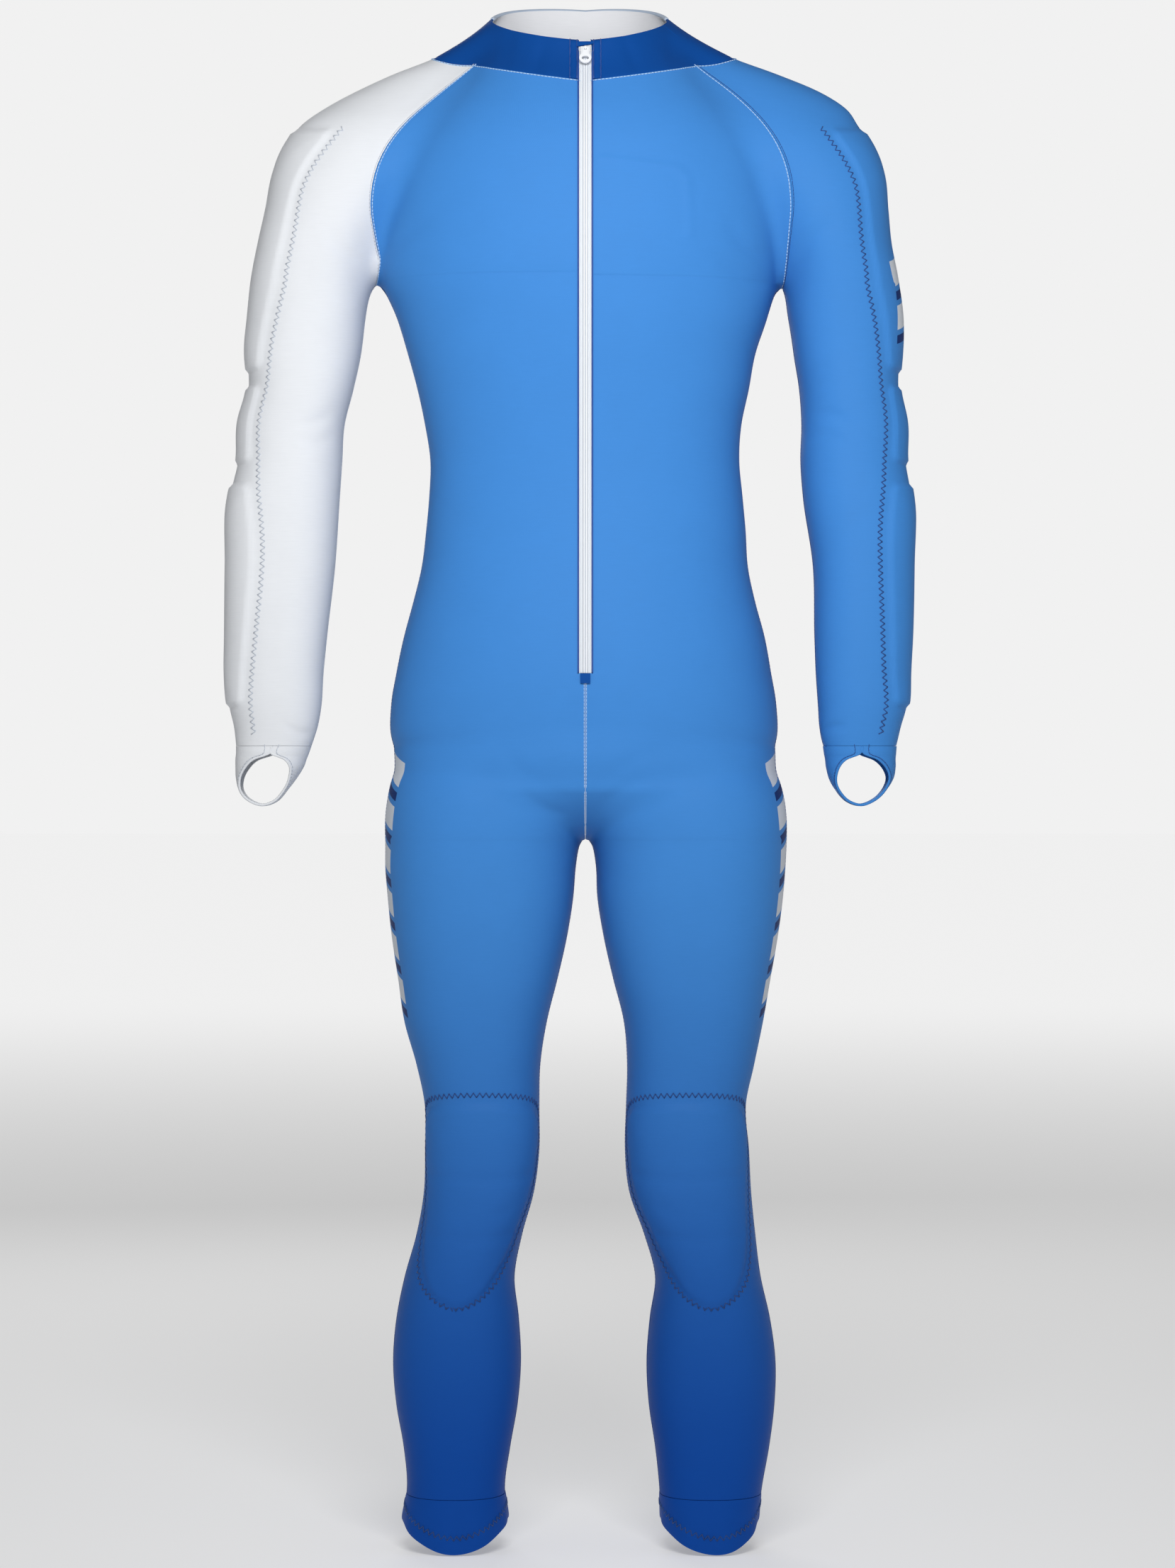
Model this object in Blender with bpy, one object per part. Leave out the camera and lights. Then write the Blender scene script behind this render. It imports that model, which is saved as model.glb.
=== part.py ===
"""A ski race suit, worn in shape with no wearer in it: two fronts, two backs, raglan sleeves with hand
loops, a stand collar with its lining, hem bands, knee and arm pads, and a closed front zip with a
hinged pull.

Level sections make one smooth form of torso, legs and arms, and each panel is a grid of rows cast onto
that form between its seams, with a wall behind it. Metres, +Z up. The front faces -Y and the wearer's
right is -X. The origin is on the wearer's shoulders, inside the neck.
"""

import math

import bmesh
import bpy
import numpy as np
from mathutils import Matrix, Vector

MM = 0.001
ORIGIN_HEIGHT = 1365 * MM  # from the foot of the hems up to the shoulders
SIDES = {"right": -1, "left": 1}

CLOTH = 1.6 * MM
SEAM_GAP = 0.32 * MM
JUNCTION_GAP = 1.0 * MM  # at the crotch and underarms, where four pieces meet
SECTION_POWER = 2.35  # 2 is an ellipse, more is squarer
LIMB_BLEND = 20 * MM
CROTCH_BLEND, CROTCH_BLEND_MOST = 14 * MM, 110 * MM  # at the crotch, and where it is widest above
CROTCH_BLEND_FOOT, CROTCH_BLEND_RISE = 664 * MM, 2.0  # the height it widens from, and how fast
HIP_BLEND = 24 * MM

# A row for each level section, in millimetres: its height above the hems, then its four edges
TORSO_COLUMNS = ("height", "right", "left", "front", "back")
TORSO_ROWS = (
    (696, -40, 40, -40, 50),
    (712, -110, 110, -72, 86),
    (726, -150, 150, -86, 104),
    (740, -172, 171, -94, 118),
    (754, -179, 177, -98, 124),
    (790, -181, 178, -102, 126.5),
    (820, -176, 173, -102, 121.5),
    (853, -169, 167, -100, 113),
    (886, -160, 158, -97, 103),
    (919, -152, 151, -94, 94),
    (952, -148, 149, -92, 88),
    (985, -145, 146, -91, 84),
    (1018, -144, 143, -92, 82),
    (1051, -149, 145, -95, 83),
    (1084, -156, 152, -99, 86),
    (1117, -165, 158, -104, 91),
    (1150, -175, 169, -108, 96),
    (1187, -190, 178, -111, 101),
    (1220, -191, 182, -112, 105),
    (1250, -189, 182, -111, 108),
    (1282, -184, 178, -107, 109),
    (1313, -170, 166, -101, 107),
    (1337, -150, 147, -93, 101),
    (1353, -134, 131, -86, 94),
    (1369, -118, 115, -79, 86),
    (1395, -100, 97, -70, 76),
    (1430, -86, 80, -62, 68),
)
LIMB_COLUMNS = ("height", "right_inner", "right_outer", "left_inner", "left_outer", "front", "back")
LEG_ROWS = (
    (-20, 74, 168, 70, 161, -50, 58),
    (34, 72, 170, 70, 161, -50, 58),
    (61, 75, 166, 69, 164, -49, 58),
    (100, 70, 169, 65, 171, -50, 62),
    (140, 63, 176, 59, 176, -53, 68),
    (180, 60, 179, 57, 177, -56, 73),
    (219, 62, 176, 60, 172, -58, 75),
    (259, 66, 168, 65, 163, -60, 72),
    (298, 59, 157, 55, 158, -61, 66),
    (338, 48, 150, 41, 154, -62, 60),
    (378, 43, 149, 37, 152, -63, 57),
    (417, 43, 149, 38, 149, -65, 56),
    (457, 42, 157, 39, 157, -69, 60),
    (496, 36, 168, 36, 165, -75, 66),
    (536, 26, 174, 26, 172, -81, 74),
    (576, 17, 180, 17, 179, -86, 83),
    (615, 11, 184, 11, 184, -90, 93),
    (640, 9, 186, 10, 186, -92, 100),
    (658, 6, 186, 7, 187, -93, 106),
    (688, -6, 186, -6, 187, -94, 111),
    (704, -12, 184, -12, 185, -93, 112),
    (724, -20, 179, -20, 179, -88, 110),
    (740, -26, 168, -26, 168, -82, 104),
    (754, -30, 152, -30, 152, -72, 92),
    (770, -30, 120, -30, 120, -58, 76),
)
ARM_ROWS = (
    (740, 257, 321, 225, 283, -70, -12),
    (754, 252, 322, 219, 287, -72, -8),
    (770, 247, 324, 216, 291, -74, -2),
    (787, 244, 328, 215, 296, -76, 4),
    (820, 242, 330, 213, 297, -76, 12),
    (853, 239, 330, 212, 299, -75, 20),
    (919, 232, 330, 211, 301, -70, 32),
    (985, 228, 329, 202, 302, -64, 42),
    (1018, 226, 322, 200, 297, -60, 46),
    (1051, 224, 320, 201, 296, -58, 48),
    (1084, 216, 313, 199, 291, -57, 52),
    (1117, 209, 314, 194, 292, -57, 56),
    (1150, 205, 311, 190, 292, -59, 60),
    (1187, 200, 307, 188, 287, -62, 64),
    (1218, 190, 301, 178, 281, -65, 67),
    (1250, 170, 294, 160, 278, -66, 69),
    (1282, 140, 288, 135, 275, -64, 69),
    (1313, 110, 276, 106, 264, -57, 65),
    (1329, 90, 265, 88, 254, -51, 60),
    (1345, 70, 243, 70, 243, -43, 54),
    (1361, 55, 214, 55, 218, -35, 47),
    (1377, 45, 180, 45, 180, -27, 40),
    (1393, 35, 141, 35, 138, -18, 34),
    (1407, 30, 118, 30, 112, -10, 26),
)

# The raglan seams from the underarm to the neck, and the heights at which each row meets the centres
RAGLAN_COLUMNS = (
    "step", "front_x_right", "front_x_left", "front", "back_x", "back",
    "centre_front", "centre_back", "ridge",
)
RAGLAN_ROWS = (
    (1, 190, 186, 1199, 190, 1199, 1197, 1200, 1199),
    (2, 194, 188, 1223, 192, 1225, 1217, 1226, 1224),
    (3, 197, 190, 1249, 190, 1252, 1240, 1253, 1251),
    (4, 193, 187, 1277, 181, 1281, 1264, 1282, 1281),
    (5, 182, 178, 1303, 166, 1311, 1288, 1312, 1310),
    (6, 163, 162, 1328, 145, 1341, 1312, 1342, 1339),
    (7, 135, 137, 1354, 116, 1370, 1336, 1370, 1368),
    (8, 103, 103, 1381, 78, 1398, 1360, 1397, 1394),
)
RAGLAN_STEPS = (0, 0.3, 1, 2, 3, 4, 5, 6, 7, 8)
VALLEY = {"right": 195 * MM, "left": 183 * MM}  # where arm and side meet at the underarm
ARM_LIMIT_BELOW, BODY_REACH, ARM_REACH = 150 * MM, 250 * MM, 450 * MM  # how far out rays may run
LEG_RAY, WAIST_HEIGHT, UNDERARM_LOW = 120 * MM, 900 * MM, 1100 * MM
HALF_CENTRE_ROWS = (  # height, and how far from the middle the rows of one half are cast from
    (-20, 122), (100, 120), (200, 119), (259, 115), (338, 98), (457, 98), (655, 97), (730, 88),
    (900, 76), (1187, 80), (1330, 60), (1400, 44),
)
ARM_CENTRE_ROWS = (  # height, and how far the arm's own middle line is from the suit's, per side
    (1187, 254, 238), (1250, 246, 232), (1313, 222, 212), (1337, 196, 190), (1353, 172, 170),
    (1369, 150, 148), (1381, 134, 132), (1400, 116, 112),
)

LEG_LEVELS = tuple(
    h * MM
    for h in (58, 100, 150, 200, 236, 248, 266, 290, 316, 344, 372, 396, 416, 460, 510, 560, 610, 648)
)
CROTCH_RISES = tuple(h * MM for h in (0, 3, 9, 18, 32, 54))
TORSO_LEVELS = tuple(
    h * MM for h in (754, 790, 813, 822, 860, 900, 950, 1000, 1050, 1100, 1145, 1170)
)
CUFF_END = 752 * MM
SLEEVE_LEVELS = tuple(
    h * MM for h in (752, 768, 787, 800, 850, 900, 950, 995, 1012, 1032, 1060, 1086, 1098, 1125, 1150, 1172)
)
CROTCH_SETTLES, UNDERARM_SETTLES = 90 * MM, 3.5  # how far above a junction the rows are even again
HALF_COLUMNS = 9
SLEEVE_COLUMNS = 17

ZIP_HALF = 6 * MM
ZIP_END = 818 * MM  # the zip's bottom, below which the fronts are sewn together
COIL_HALF = 2.1 * MM

RIM_HALF_WIDTH, RIM_SHIFT = 82 * MM, 5.5 * MM  # the rim leans a little to the wearer's right
RIM_FRONT, RIM_BACK = -64 * MM, 69 * MM
RIM_FRONT_HEIGHT, RIM_BACK_HEIGHT, RIM_SIDE_LIFT = 1399 * MM, 1447 * MM, 6 * MM
BASE_HALF_WIDTH, BASE_HALF_DEPTH, BASE_MIDDLE_Y = 140 * MM, 83 * MM, 5 * MM
COLLAR_ROWS = 5
COLLAR_HOLLOW = 3 * MM
LINING, LINING_GAP, LINING_SHARE, LINING_LIFT = 1.0 * MM, 0.9 * MM, 0.9, 0.3

HEM_ROWS = 4
HEM_SIDE_FOOT, HEM_FRONT_DIP = 34 * MM, 26 * MM
HEM_PROUD, HEM_THICKNESS = 0.7 * MM, 2.2 * MM

LOOP_COLUMNS, LOOP_SQUARE = 7, 0.85
LOOP_ROWS = (  # the strap's distance from the middle on each side, its height, half its turn, its curl
    (322, 287, 752, 90, 1), (322, 286.5, 745, 88, 1), (322.5, 286, 740, 66, 1),
    (322.5, 286, 732, 50, 0.9), (322, 284, 722, 37, 0.7), (319, 277, 711, 27, 0.4),
    (311, 267, 702, 21, 0.1), (298, 254, 697, 19, 0), (285, 241, 701, 21, -0.1),
    (275, 231, 711, 27, -0.4), (267, 225, 721, 38, -0.7), (260, 222, 732, 51, -0.9),
    (257, 221, 740, 66, -1), (255, 220, 745, 88, -1), (252.5, 219, 752, 90, -1),
)

ZIP_LEVELS = tuple(
    h * MM
    for h in (
        824, 853, 886, 925, 965, 1005, 1045, 1085, 1120, 1150, 1172, 1197, 1217, 1240, 1264, 1288, 1312, 1336,
    )
)
COLLAR_ZIP_SHARES = (0.0, 0.35, 0.7, 1.0)  # of the way from the neckline to the hinge
TAPE, COIL_LIFT = 1.2 * MM, 0.8 * MM
HINGE_HEIGHT, HINGE_LIFT = 1388 * MM, 5.2 * MM
SLIDER_WIDTH, SLIDER_BELOW, SLIDER_ABOVE, SLIDER_TOP = 8 * MM, 8 * MM, 2.6 * MM, 3.6 * MM
BRIDGE_OUTER, BRIDGE_INNER, BRIDGE_WIDTH = 2.0 * MM, 1.1 * MM, 1.6 * MM
PULL_LENGTH, PULL_END_RADIUS, PULL_THICKNESS = 17 * MM, 5.6 * MM, 1.4 * MM
PULL_TOP_WIDTH, PULL_PLAY = 5.4 * MM, 0.4 * MM
PULL_HOLE, PULL_HOLE_STRETCH = 2.2 * MM, 1.5
NECK_THINNER, ARM_THINNER, BAR_THINNER, BAR_SHORTER = 0.98, 0.96, 0.97, 0.995  # so no faces coincide

GARAGE_WIDTH, GARAGE_FOOT, GARAGE_TOP = 15 * MM, 4 * MM, 9.5 * MM  # heights above the hinge
GARAGE_LIFT, GARAGE_THICKNESS, GARAGE_SLANT = 0.4 * MM, 1.4 * MM, 3 * MM
STOP_HEIGHT, STOP_WIDTH, STOP_BELOW, STOP_ABOVE = 812 * MM, 9 * MM, 3.5 * MM, 5.5 * MM
STOP_LIFT, STOP_THICKNESS = 0.5 * MM, 1.6 * MM

# Knee pads: half their width as a share of the front's row. Arm pads: their edges as shares of a sleeve's
KNEE_PAD_COLUMNS = ("height", "half_share")
KNEE_PAD_ROWS = (
    (236, 0.05), (248, 0.13), (266, 0.2), (290, 0.265), (316, 0.3), (344, 0.33), (372, 0.35),
    (396, 0.365), (416, 0.365),
)
ARM_PAD_COLUMNS = ("height", "front_share", "back_share")
ARM_PAD_ROWS = (
    (787, 0.35, 0.64), (850, 0.33, 0.67), (950, 0.32, 0.68), (1032, 0.36, 0.66), (1086, 0.36, 0.66),
    (1125, 0.35, 0.67), (1187, 0.32, 0.7), (1250, 0.27, 0.72), (1311, 0.22, 0.72),
)
ARM_PADS = {"shoulder_pad": (1098, 1325), "elbow_pad": (1012, 1086), "forearm_pad": (787, 995)}
PAD_GAP = 0.65 * MM
CURVED_PAD_GAP = 1.4 * MM  # more at knee and shoulder, where slanting edges cross the panel's facets
PAD_THICKNESS = 3.2 * MM
PAD_EDGE = 1.1 * MM


class Sections:
    """The sizes of one table at any height, joined by smooth curves through its rows."""

    def __init__(self, columns, rows, keys_in_millimetres=True):
        table = np.array(sorted(rows), float)
        self.keys = table[:, 0] * (MM if keys_in_millimetres else 1)
        self.sizes = dict(zip(columns[1:], table[:, 1:].T * MM))
        self.slopes = {name: np.gradient(size, self.keys) for name, size in self.sizes.items()}

    def at(self, name, key):
        size, slope = self.sizes[name], self.slopes[name]
        key = np.clip(key, self.keys[0], self.keys[-1])
        low = np.clip(np.searchsorted(self.keys, key, side="right") - 1, 0, len(self.keys) - 2)
        step = self.keys[low + 1] - self.keys[low]
        t = (key - self.keys[low]) / step
        return (
            (1 + 2 * t) * (1 - t) ** 2 * size[low]
            + t * (1 - t) ** 2 * step * slope[low]
            + t**2 * (3 - 2 * t) * size[low + 1]
            + t**2 * (t - 1) * step * slope[low + 1]
        )


TORSO = Sections(TORSO_COLUMNS, TORSO_ROWS)
LEGS = Sections(LIMB_COLUMNS, LEG_ROWS)
ARMS = Sections(LIMB_COLUMNS, ARM_ROWS)
RAGLAN = Sections(RAGLAN_COLUMNS, RAGLAN_ROWS, keys_in_millimetres=False)
HALF_CENTRE = Sections(("height", "x"), HALF_CENTRE_ROWS)
ARM_CENTRE = Sections(("height", "right", "left"), ARM_CENTRE_ROWS)


def section_value(x, y, height, sections, low_x, high_x):
    """About how far a point is outside a section whose corners are rounded, and below zero inside it."""
    front, back = sections.at("front", height), sections.at("back", height)
    half_width, half_depth = (high_x - low_x) / 2, (back - front) / 2
    across = np.abs(x - (high_x + low_x) / 2) / half_width
    along = np.abs(y - (back + front) / 2) / half_depth
    ratio = (across**SECTION_POWER + along**SECTION_POWER) ** (1 / SECTION_POWER)
    value = (ratio - 1) * np.minimum(half_width, half_depth)
    return np.maximum(value, np.maximum(height - sections.keys[-1], sections.keys[0] - height))


def blended(a, b, width):
    """The lesser of two values, rounded where they cross."""
    near = np.maximum(width - np.abs(a - b), 0) / width
    return np.minimum(a, b) - near**2 * width / 4


def limb_value(sections, side, x, y, height):
    inner, outer = sections.at(side + "_inner", height), sections.at(side + "_outer", height)
    return section_value(x * SIDES[side], y, height, sections, inner, outer)


def form(x, y, height):
    """Below zero inside the worn suit and above zero outside it."""
    widened = CROTCH_BLEND + np.maximum(height - CROTCH_BLEND_FOOT, 0) * CROTCH_BLEND_RISE
    legs = blended(
        limb_value(LEGS, "right", x, y, height),
        limb_value(LEGS, "left", x, y, height),
        np.minimum(widened, CROTCH_BLEND_MOST),
    )
    right, left = TORSO.at("right", height), TORSO.at("left", height)
    value = blended(section_value(x, y, height, TORSO, right, left), legs, HIP_BLEND)
    for side in SIDES:
        value = blended(value, limb_value(ARMS, side, x, y, height), LIMB_BLEND)
    return value


def normals_at(points):
    """Unit vectors that point straight out of the form."""
    reach = 0.5 * MM
    x, y, height = points[..., 0], points[..., 1], points[..., 2]
    slope = np.stack(
        [
            form(x + reach, y, height) - form(x - reach, y, height),
            form(x, y + reach, height) - form(x, y - reach, height),
            form(x, y, height + reach) - form(x, y, height - reach),
        ],
        axis=-1,
    )
    return slope / np.linalg.norm(slope, axis=-1, keepdims=True)


def cast(x, y, height, toward_x, toward_y, reach):
    """Where level rays first leave the form, or their far ends if they don't."""
    x, y, height, toward_x, toward_y, reach = np.broadcast_arrays(x, y, height, toward_x, toward_y, reach)
    shares = np.linspace(0, 1, 70)
    along = reach[..., None] * shares
    outside = form(
        x[..., None] + toward_x[..., None] * along,
        y[..., None] + toward_y[..., None] * along,
        np.broadcast_to(height[..., None], along.shape),
    ) > 0
    first = np.where(outside.any(axis=-1), outside.argmax(axis=-1), len(shares) - 1)
    low, high = reach * shares[np.maximum(first - 1, 0)], reach * shares[first]
    for _ in range(16):
        middle = (low + high) / 2
        out = form(x + toward_x * middle, y + toward_y * middle, height) > 0
        low, high = np.where(out, low, middle), np.where(out, middle, high)
    return np.stack([x + toward_x * high, y + toward_y * high, height], axis=-1)


def face_point(x, height, toward):
    """The point of the form straight in front of (toward -1) or behind (toward 1) a place inside it."""
    return cast(x, 0.0, height, 0.0, float(toward), 200 * MM)


def web_height(x, y, low, high):
    """The height at which two limbs meet, above which the place is inside the form."""
    for _ in range(24):
        middle = (low + high) / 2
        inside = form(np.array(x), np.array(y), np.array(middle)) < 0
        low, high = (low, middle) if inside else (middle, high)
    return high


CROTCH_Y = float(LEGS.at("front", 665 * MM) + LEGS.at("back", 665 * MM)) / 2
CROTCH_HEIGHT = web_height(0.0, CROTCH_Y, 640 * MM, 700 * MM)
UNDERARM = {
    side: web_height(sign * VALLEY[side], 0.0, 1150 * MM, 1215 * MM) for side, sign in SIDES.items()
}


def spaced(length, count, reference, weight):
    """Distances along a stretch from its settled end: those of the reference length, drawn in gradually
    at the far end where a seam cuts the stretch short. At weight 1 they are even."""
    last = count - 1
    step = (reference + (length - reference) * weight) / last
    number = np.arange(count)
    return step * number + (length - last * step) * (number / last) ** 3


def row(
    side, centre, start, end, ways, count, limits, crown=0.0, settled="start", reference=0.0, weight=1.0
):
    """Points evenly spaced over the form, from one seam point round to another.

    The rays leave the centre's line (a function of height), between the angles of the two ends. A
    point on the inner side is reached by way of the front (-1) or of the back (1). The rays stop at
    the limits, which are distances from the suit's middle plane. The rest says how points are spaced.
    """
    sign = SIDES[side]
    angles = []
    for point, way in zip((start, end), ways):
        middle_x, middle_y = centre(point[2])
        angle = math.atan2(point[1] - middle_y, sign * point[0] - middle_x)
        if way * angle < -math.pi / 2:
            angle += way * 2 * math.pi
        angles.append(angle)
    first, last = angles
    share = np.linspace(0, 1, 8 * count)
    angle = first + (last - first) * share
    height = start[2] + (end[2] - start[2]) * share + crown * np.sin(math.pi * share)
    middle_x, middle_y = centre(height)
    toward_x, toward_y = np.cos(angle), np.sin(angle)
    low, high = limits
    reach = np.full(share.shape, 190 * MM)
    inward = toward_x < -1e-6
    outward = toward_x > 1e-6
    reach[inward] = np.minimum(reach, (low - middle_x) / np.where(inward, toward_x, -1))[inward]
    reach[outward] = np.minimum(reach, (high - middle_x) / np.where(outward, toward_x, 1))[outward]
    points = cast(sign * middle_x, middle_y, height, sign * toward_x, toward_y, reach)
    points[0], points[-1] = start, end
    along = np.concatenate([[0], np.cumsum(np.linalg.norm(np.diff(points, axis=0), axis=1))])
    length = along[-1]
    if settled == "start":
        places = spaced(length, count, reference, weight)
    elif settled == "end":
        places = length - spaced(length, count, reference, weight)[::-1]
    else:
        middle = float(np.interp(0.0, angle, along))
        half = count // 2 + 1
        before = middle - spaced(middle, half, reference / 2, weight)[::-1]
        after = middle + spaced(length - middle, half, reference / 2, weight)
        places = np.concatenate([before, after[1:]])
    return np.stack([np.interp(places, along, points[:, i]) for i in range(3)], axis=-1)


def length_of(line):
    return float(np.linalg.norm(np.diff(line, axis=0), axis=1).sum())


def half_centre(height):
    return HALF_CENTRE.at("x", height), 0.0 * height


def arm_centre(side):
    def centre(height):
        own_x = (ARMS.at(side + "_inner", height) + ARMS.at(side + "_outer", height)) / 2
        x = np.where(height < ARM_CENTRE.keys[0], own_x, ARM_CENTRE.at(side, height))
        return x, (ARMS.at("front", height) + ARMS.at("back", height)) / 2

    return centre


def raglan_point(side, toward, step):
    """A point of the seam between body and sleeve, on the front (-1) or the back (1)."""
    sign, web = SIDES[side], UNDERARM[side]
    if step == 0:
        return np.array([sign * VALLEY[side], 0.0, web])
    name, name_x = ("front", "front_x_" + side) if toward < 0 else ("back", "back_x")
    first = min(step, 1.0)
    x = VALLEY[side] + (float(RAGLAN.at(name_x, max(step, 1.0))) - VALLEY[side]) * first
    height = web + (float(RAGLAN.at(name, max(step, 1.0))) - web) * first**2
    return face_point(sign * x, height, toward)


def middle_height(side, name, step):
    """The height of a raglan row at the suit's centre front or back, or at the top of the arm."""
    first = min(step, 1.0)
    web = UNDERARM[side]
    return web + (float(RAGLAN.at(name, max(step, 1.0))) - web) * first**2


def zip_edge(height):
    """How far the fronts stand from the middle plane: apart at the zip, sewn together below it."""
    return ZIP_HALF if height >= ZIP_END else 0.0


def half_panel(side, toward, columns=HALF_COLUMNS):
    """The rows of one front (-1) or back (1), from the hem band up to the neckline."""
    sign = SIDES[side]
    ways = (toward, toward)
    valley = VALLEY[side]
    rows = []

    def side_point(height):
        middle = float(HALF_CENTRE.at("x", height))
        reach = valley - middle if height > WAIST_HEIGHT else LEG_RAY
        return cast(sign * middle, 0.0, height, float(sign), 0.0, reach)

    def centre_point(height):
        if toward > 0:
            return face_point(0.0, height, toward)
        return face_point(sign * zip_edge(height), height, toward)

    for height in LEG_LEVELS:
        middle = float(HALF_CENTRE.at("x", height))
        inner = cast(sign * middle, 0.0, height, -float(sign), 0.0, middle)
        rows.append(row(side, half_centre, inner, side_point(height), ways, columns, (0.0, BODY_REACH)))
    leg_length = length_of(rows[-1])
    for rise in CROTCH_RISES:
        height = CROTCH_HEIGHT + rise
        settled = {"settled": "end", "reference": leg_length, "weight": min(rise / CROTCH_SETTLES, 1.0)}
        if rise == 0:
            inner = np.array([0.0, CROTCH_Y, height])
        else:
            inner = cast(0.0, CROTCH_Y, height, 0.0, float(toward), 200 * MM)
        limits = (0.0, BODY_REACH)
        rows.append(row(side, half_centre, inner, side_point(height), ways, columns, limits, **settled))
    for height in TORSO_LEVELS:
        start = centre_point(height)
        rows.append(row(side, half_centre, start, side_point(height), ways, columns, (0.0, valley)))
    name = "centre_front" if toward < 0 else "centre_back"
    side_length = length_of(rows[-1])
    for step in RAGLAN_STEPS:
        settled = {"reference": side_length, "weight": min(step / UNDERARM_SETTLES, 1.0)}
        start = centre_point(middle_height(side, name, step))
        end = raglan_point(side, toward, step)
        rows.append(row(side, half_centre, start, end, ways, columns, (0.0, BODY_REACH), **settled))
    return np.array(rows)


def sleeve_panel(side, columns=SLEEVE_COLUMNS):
    """The rows of one sleeve, from the cuff up to the neckline: round the arm, then over the shoulder."""
    sign = SIDES[side]
    centre = arm_centre(side)
    rows = []
    for height in SLEEVE_LEVELS:
        middle_x, middle_y = (float(v) for v in centre(np.array(height)))
        low = VALLEY[side] if height > UNDERARM_LOW else ARM_LIMIT_BELOW
        inner = cast(sign * middle_x, middle_y, height, -float(sign), 0.0, middle_x - low)
        limits = (low, ARM_REACH)
        rows.append(row(side, centre, inner, inner, (-1, 1), columns, limits, settled="middle"))
    ring_length = length_of(rows[-1])
    for step in RAGLAN_STEPS:
        settled = {
            "settled": "middle", "reference": ring_length, "weight": min(step / UNDERARM_SETTLES, 1.0)
        }
        start, end = raglan_point(side, -1, step), raglan_point(side, 1, step)
        level = (start[2] + end[2]) / 2
        crown = middle_height(side, "ridge", step) - level
        low = 0.0 if step > 1 else VALLEY[side]
        rows.append(row(side, centre, start, end, (-1, 1), columns, (low, ARM_REACH), crown, **settled))
    return np.array(rows)


GRID_EDGES = {  # the border line of a grid, and the line beside it
    "first": ((slice(None), 0), (slice(None), 1)),
    "last": ((slice(None), -1), (slice(None), -2)),
    "foot": ((0, slice(None)), (1, slice(None))),
    "top": ((-1, slice(None)), (-2, slice(None))),
}


def trimmed(points, normals, edges):
    """The grid with the named edges moved in over its own surface by the given distances."""
    moved = points.copy()
    for edge, step_in in edges.items():
        line, beside = GRID_EDGES[edge]
        border = points[line]
        inward = np.cross(normals[line], np.gradient(border, axis=0))
        inward /= np.linalg.norm(inward, axis=-1, keepdims=True)
        facing = np.sign(np.sum(inward * (points[beside] - border), axis=-1))
        moved[line] += inward * (facing * step_in)[:, None]
    return moved


def seam_trims(points, junctions=()):
    """Half a seam gap along all four edges, and more where four pieces meet."""
    along = np.full(points.shape[0], SEAM_GAP / 2)
    for junction in junctions:
        along[junction - 2 : junction + 3] = JUNCTION_GAP / 2
    across = np.full(points.shape[1], SEAM_GAP / 2)
    return {"first": along, "last": along, "foot": across, "top": across}


def wall_faces(rows, columns, ring=False):
    """The faces of a closed wall made of an outer grid and, behind it, an inner one."""
    count = rows * columns
    faces = []
    across = columns if ring else columns - 1
    for j in range(rows - 1):
        for i in range(across):
            a, b = j * columns + i, j * columns + (i + 1) % columns
            c, d = b + columns, a + columns
            faces.append((a, b, c, d))
            faces.append((count + d, count + c, count + b, count + a))
    for i in range(across):
        k = (i + 1) % columns
        faces.append((k, i, count + i, count + k))
        top = (rows - 1) * columns
        faces.append((top + i, top + k, count + top + k, count + top + i))
    if not ring:
        for j in range(rows - 1):
            a, d = j * columns, (j + 1) * columns
            faces.append((a, d, count + d, count + a))
            b, c = a + columns - 1, d + columns - 1
            faces.append((c, b, count + b, count + c))
    return faces


def add_object(name, points, faces, material):
    """A mesh object whose heights are measured from the origin on the shoulders."""
    points = np.asarray(points, float).reshape(-1, 3) - (0, 0, ORIGIN_HEIGHT)
    mesh = bpy.data.meshes.new(name)
    mesh.from_pydata([tuple(p) for p in points], [], [tuple(f) for f in faces])
    mesh.validate()
    turned_out(mesh)
    mesh.shade_smooth()
    mesh.set_sharp_from_angle(angle=math.radians(50))
    mesh.materials.append(material)
    obj = bpy.data.objects.new(name, mesh)
    SUIT.objects.link(obj)
    return obj


def turned_out(mesh):
    """Turns every face round if the mesh is inside out."""
    volume = 0.0
    for polygon in mesh.polygons:
        corners = [mesh.vertices[i].co for i in polygon.vertices]
        for b, c in zip(corners[1:], corners[2:]):
            volume += corners[0].dot(b.cross(c))
    if volume < 0:
        mesh.flip_normals()


def add_wall(name, outer, inner, material, ring=False):
    rows, columns = outer.shape[:2]
    points = np.concatenate([outer.reshape(-1, 3), inner.reshape(-1, 3)])
    return add_object(name, points, wall_faces(rows, columns, ring), material)


def add_panel(name, points, normals, material, junctions=()):
    outer = trimmed(points, normals, seam_trims(points, junctions))
    return add_wall(name, outer, outer - normals * CLOTH, material)


def material_of(name, colour, roughness, metallic=0.0):
    material = bpy.data.materials.new(name)
    material.use_nodes = True
    shader = material.node_tree.nodes["Principled BSDF"]
    shader.inputs["Base Color"].default_value = (*colour, 1)
    shader.inputs["Roughness"].default_value = roughness
    shader.inputs["Metallic"].default_value = metallic
    material.diffuse_color = (*colour, 1)
    return material


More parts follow.
